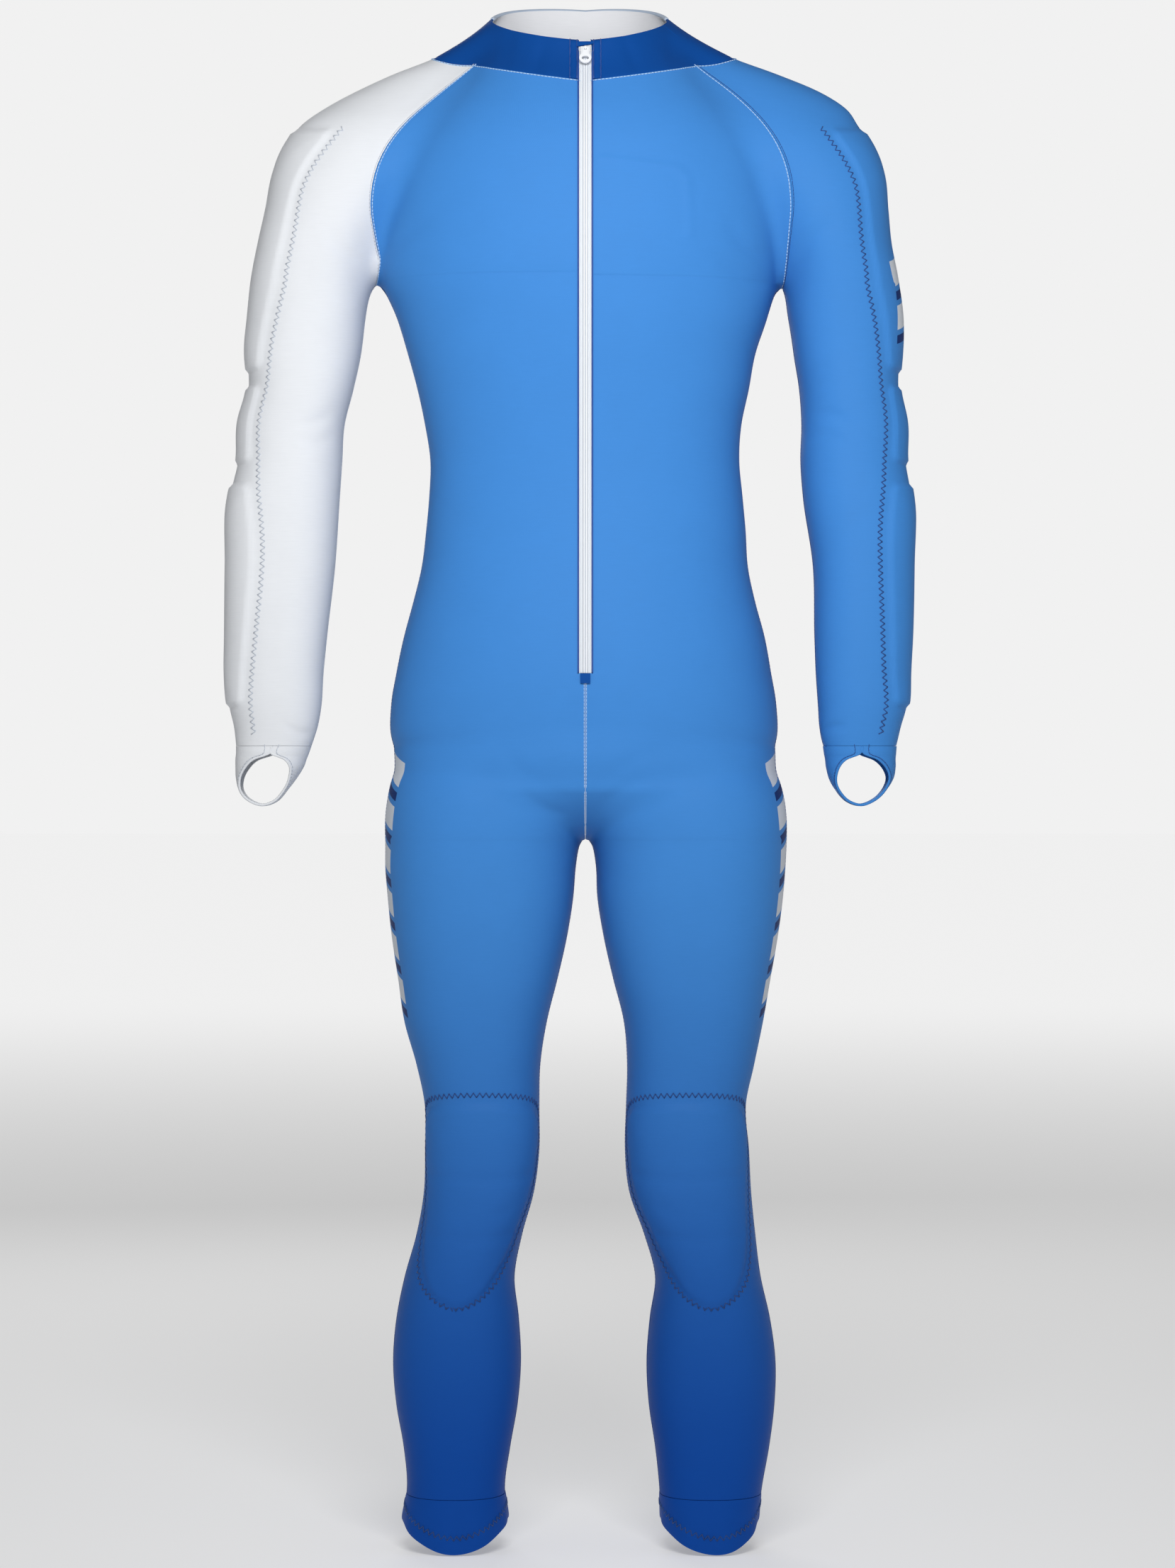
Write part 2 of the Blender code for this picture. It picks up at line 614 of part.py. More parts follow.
def pad(name, points, normals, chosen, low, high, material, gap=PAD_GAP):
    """A pad made from a panel's own points, moved out: full inside and thin at its edge.

    chosen lists the panel's rows that it covers. low and high are its edges in each of them, as shares
    of the row, and a column past an edge is drawn onto it.
    """
    count = points.shape[1]
    first = int(np.floor(min(low) * (count - 1)))
    last = int(np.ceil(max(high) * (count - 1)))
    base, outward, edge = [], [], []
    for j, a, b in zip(chosen, low, high):
        places = np.clip(np.arange(first, last + 1), a * (count - 1), b * (count - 1))
        index = np.arange(count)
        line = np.stack([np.interp(places, index, points[j, :, i]) for i in range(3)], axis=-1)
        normal = np.stack([np.interp(places, index, normals[j, :, i]) for i in range(3)], axis=-1)
        base.append(line)
        outward.append(normal / np.linalg.norm(normal, axis=-1, keepdims=True))
        rim = (places <= a * (count - 1) + 1e-6) | (places >= b * (count - 1) - 1e-6)
        edge.append(rim | (j in (chosen[0], chosen[-1])))
    base, outward, edge = np.array(base), np.array(outward), np.array(edge)
    thickness = np.where(edge, PAD_EDGE, PAD_THICKNESS)[..., None]
    inner = base + outward * gap
    outer = inner + outward * thickness
    obj = add_wall(name, outer, inner, material)
    merge_close(obj.data)
    return obj


def merge_close(mesh):
    """Makes one of points that lie on each other, and drops the faces that collapsed."""
    work = bmesh.new()
    work.from_mesh(mesh)
    bmesh.ops.remove_doubles(work, verts=work.verts, dist=0.05 * MM)
    bmesh.ops.dissolve_degenerate(work, edges=work.edges, dist=0.02 * MM)
    work.to_mesh(mesh)
    work.free()


def grid_normals(points, outward):
    """Unit vectors square to a grid of points, on the side that outward points to at its middle."""
    down, across = np.gradient(points, axis=0), np.gradient(points, axis=1)
    normals = np.cross(down, across)
    normals /= np.linalg.norm(normals, axis=-1, keepdims=True)
    middle = normals[normals.shape[0] // 2, normals.shape[1] // 2]
    return normals * np.sign(np.dot(middle, outward))


def rim_point(angle, sign):
    """A point of the collar's top edge. The angle is 0 at the front and pi at the back."""
    share = (1 - math.cos(angle)) / 2
    width = max(RIM_HALF_WIDTH * math.sin(angle), ZIP_HALF * (1 - share))
    x = sign * width - RIM_SHIFT * math.sin(angle)
    y = RIM_FRONT + (RIM_BACK - RIM_FRONT) * share
    height = RIM_FRONT_HEIGHT + (RIM_BACK_HEIGHT - RIM_FRONT_HEIGHT) * share
    return np.array([x, y, height + RIM_SIDE_LIFT * math.sin(angle)])


def neckline(panels, side):
    """The top edges of front, sleeve and back, from the zip to the centre back."""
    front, sleeve, back = (panels[name, side][0][-1] for name in ("front", "sleeve", "back"))
    return np.concatenate([front[:-1], sleeve[:-1], back[::-1]])


def collar_grid(panels):
    """The collar from the neckline up to its rim, and from the left of the zip round to its right."""
    left, right = neckline(panels, "left"), neckline(panels, "right")
    base = np.concatenate([left, right[::-1][1:]])
    rim = []
    for x, y, _ in base:
        angle = math.atan2(abs(x) / BASE_HALF_WIDTH, (BASE_MIDDLE_Y - y) / BASE_HALF_DEPTH)
        rim.append(rim_point(angle, -1 if x < 0 else 1))
    rim = np.array(rim)
    share = np.linspace(0, 1, COLLAR_ROWS)[:, None, None]
    hollow = np.sin(math.pi * share) * COLLAR_HOLLOW
    toward_middle = -base * (1, 1, 0) / np.linalg.norm(base * (1, 1, 0), axis=-1, keepdims=True)
    points = base * (1 - share) + rim * share + hollow * toward_middle
    normals = grid_normals(points, np.array([0.0, 1.0, 0.0]))
    normals[0] = normals_at(base)
    return points, normals


def add_collar(panels, blue, white):
    points, normals = collar_grid(panels)
    add_panel("collar", points, normals, blue)
    inside = points[:, 1:-1] - normals[:, 1:-1] * (CLOTH + LINING_GAP)
    inside = inside[0] + (inside - inside[0]) * LINING_SHARE + (inside[1] - inside[0]) * LINING_LIFT
    add_wall("collar_lining", inside, inside - normals[:, 1:-1] * LINING, white)
    return points


def hem_foot(angle):
    """The height of a hem band's lower edge, which dips over the front of the foot."""
    return HEM_SIDE_FOOT - HEM_FRONT_DIP * max(0.0, -math.sin(angle)) ** 2


def add_hem_band(side, panels, material):
    """A ring from the leg's lower edge down, standing a little proud of the leg."""
    sign = SIDES[side]
    top = np.concatenate([panels["front", side][0][0][:-1], panels["back", side][0][0][::-1][:-1]])
    rows = []
    for share in np.linspace(0, 1, HEM_ROWS):
        ring = []
        for x, y, height in top:
            middle_x, middle_y = (float(v) for v in half_centre(np.array(height)))
            angle = math.atan2(y - middle_y, sign * x - middle_x)
            level = height - SEAM_GAP + (hem_foot(angle) - height) * share
            toward = sign * math.cos(angle), math.sin(angle)
            ring.append(cast(sign * middle_x, middle_y, level, *toward, 100 * MM))
        rows.append(ring)
    rows = np.array(rows)
    normals = normals_at(rows)
    outer = rows + normals * HEM_PROUD
    return add_wall(f"hem_band_{side}", outer, outer - normals * HEM_THICKNESS, material, ring=True)


def add_hand_loop(side, material):
    """A strap down one side of the wrist, under the hand and up the other, as wide as the cuff above."""
    sign = SIDES[side]
    front, back = float(ARMS.at("front", CUFF_END)), float(ARMS.at("back", CUFF_END))
    inner, outer = (float(ARMS.at(f"{side}_{edge}", CUFF_END)) for edge in ("inner", "outer"))
    half_depth, half_width = (back - front) / 2, (outer - inner) / 2
    rows = []
    for right_x, left_x, height, half_angle, curl in LOOP_ROWS:
        x = (right_x if side == "right" else left_x) * MM
        angle = np.radians(np.linspace(-half_angle, half_angle, LOOP_COLUMNS))
        own_x = x - curl * half_width * (1 - np.abs(np.cos(angle)) ** LOOP_SQUARE)
        own_y = (front + back) / 2 + half_depth * np.sign(angle) * np.abs(np.sin(angle)) ** LOOP_SQUARE
        rows.append(np.stack([sign * own_x, own_y, np.full(LOOP_COLUMNS, height * MM)], axis=-1))
    rows = np.array(rows)
    normals = grid_normals(rows, np.array([0.0, 0.0, -1.0]))
    trims = seam_trims(rows)
    outer = trimmed(rows, normals, trims)
    return add_wall(f"hand_loop_{side}", outer, outer - normals * CLOTH, material)


def zip_line(collar_points):
    """The middle line of the zip from its foot to its top, with the way out of the suit at each point."""
    line = [face_point(0.0, height, -1) for height in ZIP_LEVELS]
    foot = (collar_points[0, 0] + collar_points[0, -1]) / 2
    top = (collar_points[-1, 0] + collar_points[-1, -1]) / 2
    foot[0] = top[0] = 0.0
    share = (HINGE_HEIGHT - foot[2]) / (top[2] - foot[2])
    line = np.array(line + [foot + (top - foot) * part * share for part in COLLAR_ZIP_SHARES])
    along = np.gradient(line, axis=0)
    outward = np.stack([np.zeros(len(line)), -along[:, 2], along[:, 1]], axis=-1)
    return line, outward / np.linalg.norm(outward, axis=-1, keepdims=True)


def add_strip(name, line, outward, low_x, high_x, outer_lift, inner_lift, material):
    across = np.array([[low_x, 0, 0], [high_x, 0, 0]])
    grid = line[:, None] + across[None]
    lift = outward[:, None]
    return add_wall(name, grid + lift * outer_lift, grid + lift * inner_lift, material)


def add_zip(collar_points, pale):
    line, outward = zip_line(collar_points)
    edge, coil = ZIP_HALF - SEAM_GAP, COIL_HALF
    add_strip("zip_tape_right", line, outward, -edge, -coil - SEAM_GAP, 0, -TAPE, pale)
    add_strip("zip_tape_left", line, outward, coil + SEAM_GAP, edge, 0, -TAPE, pale)
    add_strip("zip_coil", line, outward, -coil, coil, COIL_LIFT, -TAPE, pale)
    return line[-1], outward[-1]


def joined(name, shapes, material, place):
    """One body made of overlapping shapes, set down by a matrix."""
    first = shapes[0]
    for other in shapes[1:]:
        modifier = first.modifiers.new("join", "BOOLEAN")
        modifier.operation = "UNION"
        modifier.object = other
        other.hide_render = True
        other.display_type = "WIRE"
    first.name = name
    first.data.materials.append(material)
    for shape in shapes:
        shape.matrix_world = place @ shape.matrix_world
        shape.data.shade_smooth()
        shape.data.set_sharp_from_angle(angle=math.radians(35))
    return first


def shape_of(mesh_call, collection, matrix, **settings):
    """An object made by one of bmesh's primitives."""
    work = bmesh.new()
    mesh_call(work, **settings)
    bmesh.ops.transform(work, matrix=matrix, verts=work.verts)
    mesh = bpy.data.meshes.new("shape")
    work.to_mesh(mesh)
    work.free()
    obj = bpy.data.objects.new("shape", mesh)
    collection.objects.link(obj)
    return obj


def block(collection, low, high):
    """A box between two corners."""
    low, high = Vector(low), Vector(high)
    size = Matrix.Diagonal((*(high - low), 1))
    return shape_of(bmesh.ops.create_cube, collection, Matrix.Translation((low + high) / 2) @ size, size=1)


def rod(collection, centre, radius, length, around="X", segments=24, stretch=1.0):
    """A cylinder, or an oval one where stretch isn't 1."""
    turn = {"X": Matrix.Rotation(math.pi / 2, 4, "Y"), "Y": Matrix.Rotation(math.pi / 2, 4, "X")}[around]
    matrix = Matrix.Translation(centre) @ turn @ Matrix.Diagonal((stretch, 1, 1, 1))
    return shape_of(
        bmesh.ops.create_cone, collection, matrix,
        cap_ends=True, segments=segments, radius1=radius, radius2=radius, depth=length,
    )


def cut_from(obj, cutter):
    cutter.hide_render = True
    cutter.display_type = "WIRE"
    modifier = obj.modifiers.new("cut", "BOOLEAN")
    modifier.operation = "DIFFERENCE"
    modifier.object = cutter


def add_slider_and_pull(foot, outward, pale):
    """The zip's slider with its bridge, and the pull hinged on it. Both are drawn in their own frame:
    X along the hinge, -Y out of the suit and Z up along the collar, with the hinge at the origin."""
    tilt = Matrix.Rotation(-math.asin(outward[2]), 4, "X")
    hinge = Vector(foot) + Vector(outward) * HINGE_LIFT - Vector((0, 0, ORIGIN_HEIGHT))
    place = Matrix.Translation(hinge) @ tilt
    body_low = (-SLIDER_WIDTH / 2, HINGE_LIFT - SLIDER_TOP, -SLIDER_BELOW)
    body_high = (SLIDER_WIDTH / 2, HINGE_LIFT - COIL_LIFT - SEAM_GAP, SLIDER_ABOVE)
    body = block(SUIT, body_low, body_high)
    bridge = rod(HELPERS, (0, 0, 0), BRIDGE_OUTER, BRIDGE_WIDTH)
    hole = rod(HELPERS, (0, 0, 0), BRIDGE_INNER, 2 * BRIDGE_WIDTH)
    slider = joined("zip_slider", [body, bridge], pale, place)
    hole.matrix_world = place @ hole.matrix_world
    cut_from(slider, hole)

    half = PULL_THICKNESS / 2
    arm_inner, arm_outer = BRIDGE_WIDTH / 2 + PULL_PLAY, PULL_TOP_WIDTH / 2
    plate = rod(SUIT, (0, 0, -PULL_LENGTH + PULL_END_RADIUS), PULL_END_RADIUS, PULL_THICKNESS, "Y", 32)
    neck_foot = -PULL_LENGTH + PULL_END_RADIUS
    neck_half, arm_half = half * NECK_THINNER, half * ARM_THINNER
    neck_top = -BRIDGE_OUTER - PULL_PLAY
    neck = block(HELPERS, (-arm_outer, -neck_half, neck_foot), (arm_outer, neck_half, neck_top))
    arms = [
        block(HELPERS, (a, -arm_half, neck_foot / 2), (b, arm_half, 0))
        for a, b in ((-arm_outer, -arm_inner), (arm_inner, arm_outer))
    ]
    bar = rod(HELPERS, (0, 0, 0), half * BAR_THINNER, 2 * arm_outer * BAR_SHORTER)
    pull = joined("zip_pull", [plate, neck, *arms, bar], pale, place)
    oval = rod(HELPERS, (0, 0, neck_foot), PULL_HOLE, 3 * PULL_THICKNESS, "Y", 24, PULL_HOLE_STRETCH)
    oval.matrix_world = place @ oval.matrix_world
    cut_from(pull, oval)


def add_patch(name, centre, outward, width, rises, lift, thickness, material, slant=0.0):
    """A small flat piece over the zip, from the first rise to the second. Its lower edge slants."""
    up = np.cross(outward, (1, 0, 0))
    up = up * np.sign(up[2])
    inner = []
    for rise, tilt in zip(rises, (slant, 0.0)):
        ends = ((-width / 2, rise), (width / 2, rise + tilt))
        inner.append([centre + np.array([x, 0, 0]) + up * level for x, level in ends])
    inner = np.array(inner) + outward * lift
    return add_wall(name, inner + outward * thickness, inner, material)


def share_at(table, name, height):
    return float(table.at(name, height)) / MM


def whole_column(share):
    """The nearest share of a sleeve's row that lies on one of its columns."""
    return round(share * (SLEEVE_COLUMNS - 1)) / (SLEEVE_COLUMNS - 1)


def add_pads(panels, blue, white):
    knee = Sections(KNEE_PAD_COLUMNS, KNEE_PAD_ROWS)
    arm = Sections(ARM_PAD_COLUMNS, ARM_PAD_ROWS)
    for side in SIDES:
        points, normals = panels["front", side]
        chosen = [j for j in range(len(LEG_LEVELS)) if knee.keys[0] <= LEG_LEVELS[j] <= knee.keys[-1] + MM]
        half = [share_at(knee, "half_share", LEG_LEVELS[j]) for j in chosen]
        low, high = [0.5 - h for h in half], [0.5 + h for h in half]
        pad(f"knee_pad_{side}", points, normals, chosen, low, high, blue, CURVED_PAD_GAP)
        points, normals = panels["sleeve", side]
        levels = points[:, points.shape[1] // 2, 2]
        for name, (low, high) in ARM_PADS.items():
            chosen = [j for j, level in enumerate(levels) if low * MM - MM <= level <= high * MM + MM]
            front = [whole_column(share_at(arm, "front_share", levels[j])) for j in chosen]
            back = [whole_column(share_at(arm, "back_share", levels[j])) for j in chosen]
            gap = CURVED_PAD_GAP if name == "shoulder_pad" else PAD_GAP
            material = white if side == "right" else blue
            pad(f"{name}_{side}", points, normals, chosen, front, back, material, gap)


def build():
    blue = material_of("blue_stretch", (0.03, 0.16, 0.55), 0.5)
    deep = material_of("deep_blue_stretch", (0.015, 0.07, 0.33), 0.5)
    white = material_of("white_stretch", (0.75, 0.78, 0.82), 0.5)
    lining = material_of("white_lining", (0.8, 0.8, 0.8), 0.8)
    pale = material_of("zip_white", (0.78, 0.79, 0.8), 0.35)

    panels = {}
    crotch_row = len(LEG_LEVELS)
    body_junctions = (crotch_row, crotch_row + len(CROTCH_RISES) + len(TORSO_LEVELS))
    junctions = {"front": body_junctions, "back": body_junctions, "sleeve": (len(SLEEVE_LEVELS),)}
    for side in SIDES:
        grids = {"front": half_panel(side, -1), "back": half_panel(side, 1), "sleeve": sleeve_panel(side)}
        for name, points in grids.items():
            normals = normals_at(points)
            panels[name, side] = points, normals
            colour = white if (name, side) == ("sleeve", "right") else blue
            add_panel(f"{name}_{side}", points, normals, colour, junctions[name])
    add_pads(panels, blue, white)
    for side in SIDES:
        add_hem_band(side, panels, deep)
        add_hand_loop(side, white if side == "right" else blue)
    collar_points = add_collar(panels, deep, lining)
    foot, outward = add_zip(collar_points, pale)
    add_slider_and_pull(foot, outward, pale)
    rises = GARAGE_FOOT, GARAGE_TOP
    add_patch(
        "zip_garage", foot, outward, GARAGE_WIDTH, rises, GARAGE_LIFT, GARAGE_THICKNESS, deep, GARAGE_SLANT
    )
    stop = face_point(0.0, STOP_HEIGHT, -1)
    rises = -STOP_BELOW, STOP_ABOVE
    add_patch("zip_stop", stop, normals_at(stop), STOP_WIDTH, rises, STOP_LIFT, STOP_THICKNESS, deep)


for old in list(bpy.data.objects):
    bpy.data.objects.remove(old)
SUIT = bpy.data.collections.new("ski_race_suit")
HELPERS = bpy.data.collections.new("cutters")
for collection in (SUIT, HELPERS):
    bpy.context.scene.collection.children.link(collection)
HELPERS.hide_render = True
build()
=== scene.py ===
"""The looks of a ski race suit, worn in shape with no wearer: stretch cloth with a satin face, flat seams
with pale stitches, padded knees and arms with zigzag stitching, a pale front zip, and open hand loops.

Every shell lies on the same form as the CAD solids, which the tables below describe: metres, +Z up, the
front faces -Y and the wearer's right is -X. Heights in the tables are from the foot of the hems, and the
origin is on the wearer's shoulders.
"""

import math

import bmesh
import bpy
import numpy as np
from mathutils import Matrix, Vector


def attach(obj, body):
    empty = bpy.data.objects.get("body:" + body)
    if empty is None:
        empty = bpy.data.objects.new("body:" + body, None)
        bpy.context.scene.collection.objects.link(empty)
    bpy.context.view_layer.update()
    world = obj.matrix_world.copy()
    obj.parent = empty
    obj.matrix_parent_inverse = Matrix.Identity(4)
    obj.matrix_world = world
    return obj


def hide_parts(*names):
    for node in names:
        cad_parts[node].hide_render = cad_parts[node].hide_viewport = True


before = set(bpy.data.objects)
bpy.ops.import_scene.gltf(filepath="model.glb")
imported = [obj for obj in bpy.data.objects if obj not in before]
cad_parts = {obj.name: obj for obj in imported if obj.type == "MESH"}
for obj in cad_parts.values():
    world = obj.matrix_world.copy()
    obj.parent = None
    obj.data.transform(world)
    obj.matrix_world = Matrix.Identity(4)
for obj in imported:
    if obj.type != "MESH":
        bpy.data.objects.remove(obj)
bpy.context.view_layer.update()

MM = 0.001
ORIGIN_HEIGHT = 1365 * MM  # from the foot of the hems up to the shoulders
SIDES = {"right": -1, "left": 1}

CLOTH = 1.6 * MM
SEAM_GAP = 0.32 * MM
JUNCTION_GAP = 1.0 * MM  # at the crotch and underarms, where four pieces meet
SECTION_POWER = 2.35  # 2 is an ellipse, more is squarer
LIMB_BLEND = 20 * MM
CROTCH_BLEND, CROTCH_BLEND_MOST = 14 * MM, 110 * MM  # at the crotch, and where it is widest above
CROTCH_BLEND_FOOT, CROTCH_BLEND_RISE = 664 * MM, 2.0  # the height it widens from, and how fast
HIP_BLEND = 24 * MM

# A row for each level section, in millimetres: its height above the hems, then its four edges
TORSO_COLUMNS = ("height", "right", "left", "front", "back")
TORSO_ROWS = (
    (696, -40, 40, -40, 50),
    (712, -110, 110, -72, 86),
    (726, -150, 150, -86, 104),
    (740, -172, 171, -94, 118),
    (754, -179, 177, -98, 124),
    (790, -181, 178, -102, 126.5),
    (820, -176, 173, -102, 121.5),
    (853, -169, 167, -100, 113),
    (886, -160, 158, -97, 103),
    (919, -152, 151, -94, 94),
    (952, -148, 149, -92, 88),
    (985, -145, 146, -91, 84),
    (1018, -144, 143, -92, 82),
    (1051, -149, 145, -95, 83),
    (1084, -156, 152, -99, 86),
    (1117, -165, 158, -104, 91),
    (1150, -175, 169, -108, 96),
    (1187, -190, 178, -111, 101),
    (1220, -191, 182, -112, 105),
    (1250, -189, 182, -111, 108),
    (1282, -184, 178, -107, 109),
    (1313, -170, 166, -101, 107),
    (1337, -150, 147, -93, 101),
    (1353, -134, 131, -86, 94),
    (1369, -118, 115, -79, 86),
    (1395, -100, 97, -70, 76),
    (1430, -86, 80, -62, 68),
)
LIMB_COLUMNS = ("height", "right_inner", "right_outer", "left_inner", "left_outer", "front", "back")
LEG_ROWS = (
    (-20, 74, 168, 70, 161, -50, 58),
    (34, 72, 170, 70, 161, -50, 58),
    (61, 75, 166, 69, 164, -49, 58),
    (100, 70, 169, 65, 171, -50, 62),
    (140, 63, 176, 59, 176, -53, 68),
    (180, 60, 179, 57, 177, -56, 73),
    (219, 62, 176, 60, 172, -58, 75),
    (259, 66, 168, 65, 163, -60, 72),
    (298, 59, 157, 55, 158, -61, 66),
    (338, 48, 150, 41, 154, -62, 60),
    (378, 43, 149, 37, 152, -63, 57),
    (417, 43, 149, 38, 149, -65, 56),
    (457, 42, 157, 39, 157, -69, 60),
    (496, 36, 168, 36, 165, -75, 66),
    (536, 26, 174, 26, 172, -81, 74),
    (576, 17, 180, 17, 179, -86, 83),
    (615, 11, 184, 11, 184, -90, 93),
    (640, 9, 186, 10, 186, -92, 100),
    (658, 6, 186, 7, 187, -93, 106),
    (688, -6, 186, -6, 187, -94, 111),
    (704, -12, 184, -12, 185, -93, 112),
    (724, -20, 179, -20, 179, -88, 110),
    (740, -26, 168, -26, 168, -82, 104),
    (754, -30, 152, -30, 152, -72, 92),
    (770, -30, 120, -30, 120, -58, 76),
)
ARM_ROWS = (
    (740, 257, 321, 225, 283, -70, -12),
    (754, 252, 322, 219, 287, -72, -8),
    (770, 247, 324, 216, 291, -74, -2),
    (787, 244, 328, 215, 296, -76, 4),
    (820, 242, 330, 213, 297, -76, 12),
    (853, 239, 330, 212, 299, -75, 20),
    (919, 232, 330, 211, 301, -70, 32),
    (985, 228, 329, 202, 302, -64, 42),
    (1018, 226, 322, 200, 297, -60, 46),
    (1051, 224, 320, 201, 296, -58, 48),
    (1084, 216, 313, 199, 291, -57, 52),
    (1117, 209, 314, 194, 292, -57, 56),
    (1150, 205, 311, 190, 292, -59, 60),
    (1187, 200, 307, 188, 287, -62, 64),
    (1218, 190, 301, 178, 281, -65, 67),
    (1250, 170, 294, 160, 278, -66, 69),
    (1282, 140, 288, 135, 275, -64, 69),
    (1313, 110, 276, 106, 264, -57, 65),
    (1329, 90, 265, 88, 254, -51, 60),
    (1345, 70, 243, 70, 243, -43, 54),
    (1361, 55, 214, 55, 218, -35, 47),
    (1377, 45, 180, 45, 180, -27, 40),
    (1393, 35, 141, 35, 138, -18, 34),
    (1407, 30, 118, 30, 112, -10, 26),
)

# The raglan seams from the underarm to the neck, and the heights at which each row meets the centres
RAGLAN_COLUMNS = (
    "step", "front_x_right", "front_x_left", "front", "back_x", "back",
    "centre_front", "centre_back", "ridge",
)
RAGLAN_ROWS = (
    (1, 190, 186, 1199, 190, 1199, 1197, 1200, 1199),
    (2, 194, 188, 1223, 192, 1225, 1217, 1226, 1224),
    (3, 197, 190, 1249, 190, 1252, 1240, 1253, 1251),
    (4, 193, 187, 1277, 181, 1281, 1264, 1282, 1281),
    (5, 182, 178, 1303, 166, 1311, 1288, 1312, 1310),
    (6, 163, 162, 1328, 145, 1341, 1312, 1342, 1339),
    (7, 135, 137, 1354, 116, 1370, 1336, 1370, 1368),
    (8, 103, 103, 1381, 78, 1398, 1360, 1397, 1394),
)
RAGLAN_STEPS = (0, 0.3, 1, 2, 3, 4, 5, 6, 7, 8)
VALLEY = {"right": 195 * MM, "left": 183 * MM}  # where arm and side meet at the underarm
ARM_LIMIT_BELOW, BODY_REACH, ARM_REACH = 150 * MM, 250 * MM, 450 * MM  # how far out rays may run
LEG_RAY, WAIST_HEIGHT, UNDERARM_LOW = 120 * MM, 900 * MM, 1100 * MM
HALF_CENTRE_ROWS = (  # height, and how far from the middle the rows of one half are cast from
    (-20, 122), (100, 120), (200, 119), (259, 115), (338, 98), (457, 98), (655, 97), (730, 88),
    (900, 76), (1187, 80), (1330, 60), (1400, 44),
)
ARM_CENTRE_ROWS = (  # height, and how far the arm's own middle line is from the suit's, per side
    (1187, 254, 238), (1250, 246, 232), (1313, 222, 212), (1337, 196, 190), (1353, 172, 170),
    (1369, 150, 148), (1381, 134, 132), (1400, 116, 112),
)

LEG_LEVELS = tuple(
    h * MM
    for h in (58, 100, 150, 200, 236, 248, 266, 290, 316, 344, 372, 396, 416, 460, 510, 560, 610, 648)
)
CROTCH_RISES = tuple(h * MM for h in (0, 3, 9, 18, 32, 54))
TORSO_LEVELS = tuple(
    h * MM for h in (754, 790, 813, 822, 860, 900, 950, 1000, 1050, 1100, 1145, 1170)
)
CUFF_END = 752 * MM
SLEEVE_LEVELS = tuple(
    h * MM for h in (752, 768, 787, 800, 850, 900, 950, 995, 1012, 1032, 1060, 1086, 1098, 1125, 1150, 1172)
)
CROTCH_SETTLES, UNDERARM_SETTLES = 90 * MM, 3.5  # how far above a junction the rows are even again
HALF_COLUMNS = 9
SLEEVE_COLUMNS = 17

ZIP_HALF = 6 * MM
ZIP_END = 818 * MM  # the zip's bottom, below which the fronts are sewn together
COIL_HALF = 2.1 * MM

RIM_HALF_WIDTH, RIM_SHIFT = 82 * MM, 5.5 * MM  # the rim leans a little to the wearer's right
RIM_FRONT, RIM_BACK = -64 * MM, 69 * MM
RIM_FRONT_HEIGHT, RIM_BACK_HEIGHT, RIM_SIDE_LIFT = 1399 * MM, 1447 * MM, 6 * MM
BASE_HALF_WIDTH, BASE_HALF_DEPTH, BASE_MIDDLE_Y = 140 * MM, 83 * MM, 5 * MM
COLLAR_HOLLOW = 3 * MM
LINING, LINING_GAP, LINING_SHARE, LINING_LIFT = 1.0 * MM, 0.9 * MM, 0.9, 0.3

HEM_SIDE_FOOT, HEM_FRONT_DIP = 34 * MM, 26 * MM
HEM_PROUD, HEM_THICKNESS = 0.7 * MM, 2.2 * MM

LOOP_COLUMNS, LOOP_SQUARE = 7, 0.85
LOOP_ROWS = (  # the strap's distance from the middle on each side, its height, half its turn, its curl
    (322, 287, 752, 90, 1), (322, 286.5, 745, 88, 1), (322.5, 286, 740, 66, 1),
    (322.5, 286, 732, 50, 0.9), (322, 284, 722, 37, 0.7), (319, 277, 711, 27, 0.4),
    (311, 267, 702, 21, 0.1), (298, 254, 697, 19, 0), (285, 241, 701, 21, -0.1),
    (275, 231, 711, 27, -0.4), (267, 225, 721, 38, -0.7), (260, 222, 732, 51, -0.9),
    (257, 221, 740, 66, -1), (255, 220, 745, 88, -1), (252.5, 219, 752, 90, -1),
)

ZIP_LEVELS = tuple(
    h * MM
    for h in (
        824, 853, 886, 925, 965, 1005, 1045, 1085, 1120,
        1150, 1172, 1197, 1217, 1240, 1264, 1288, 1312, 1336,
    )
)
COLLAR_ZIP_SHARES = (0.0, 0.35, 0.7, 1.0)  # of the way from the neckline to the hinge
TAPE, COIL_LIFT = 1.2 * MM, 0.8 * MM
HINGE_HEIGHT, HINGE_LIFT = 1388 * MM, 5.2 * MM


# Knee pads: half their width as a share of the front's row. Arm pads: their edges as shares of a sleeve's
KNEE_PAD_COLUMNS = ("height", "half_share")
KNEE_PAD_ROWS = (
    (236, 0.05), (248, 0.13), (266, 0.2), (290, 0.265), (316, 0.3), (344, 0.33), (372, 0.35),
    (396, 0.365), (416, 0.365),
)
ARM_PAD_COLUMNS = ("height", "front_share", "back_share")
ARM_PAD_ROWS = (
    (787, 0.35, 0.64), (850, 0.33, 0.67), (950, 0.32, 0.68), (1032, 0.36, 0.66), (1086, 0.36, 0.66),
    (1125, 0.35, 0.67), (1187, 0.32, 0.7), (1250, 0.27, 0.72), (1311, 0.22, 0.72),
)
ARM_PADS = {"shoulder_pad": (1098, 1325), "elbow_pad": (1012, 1086), "forearm_pad": (787, 995)}


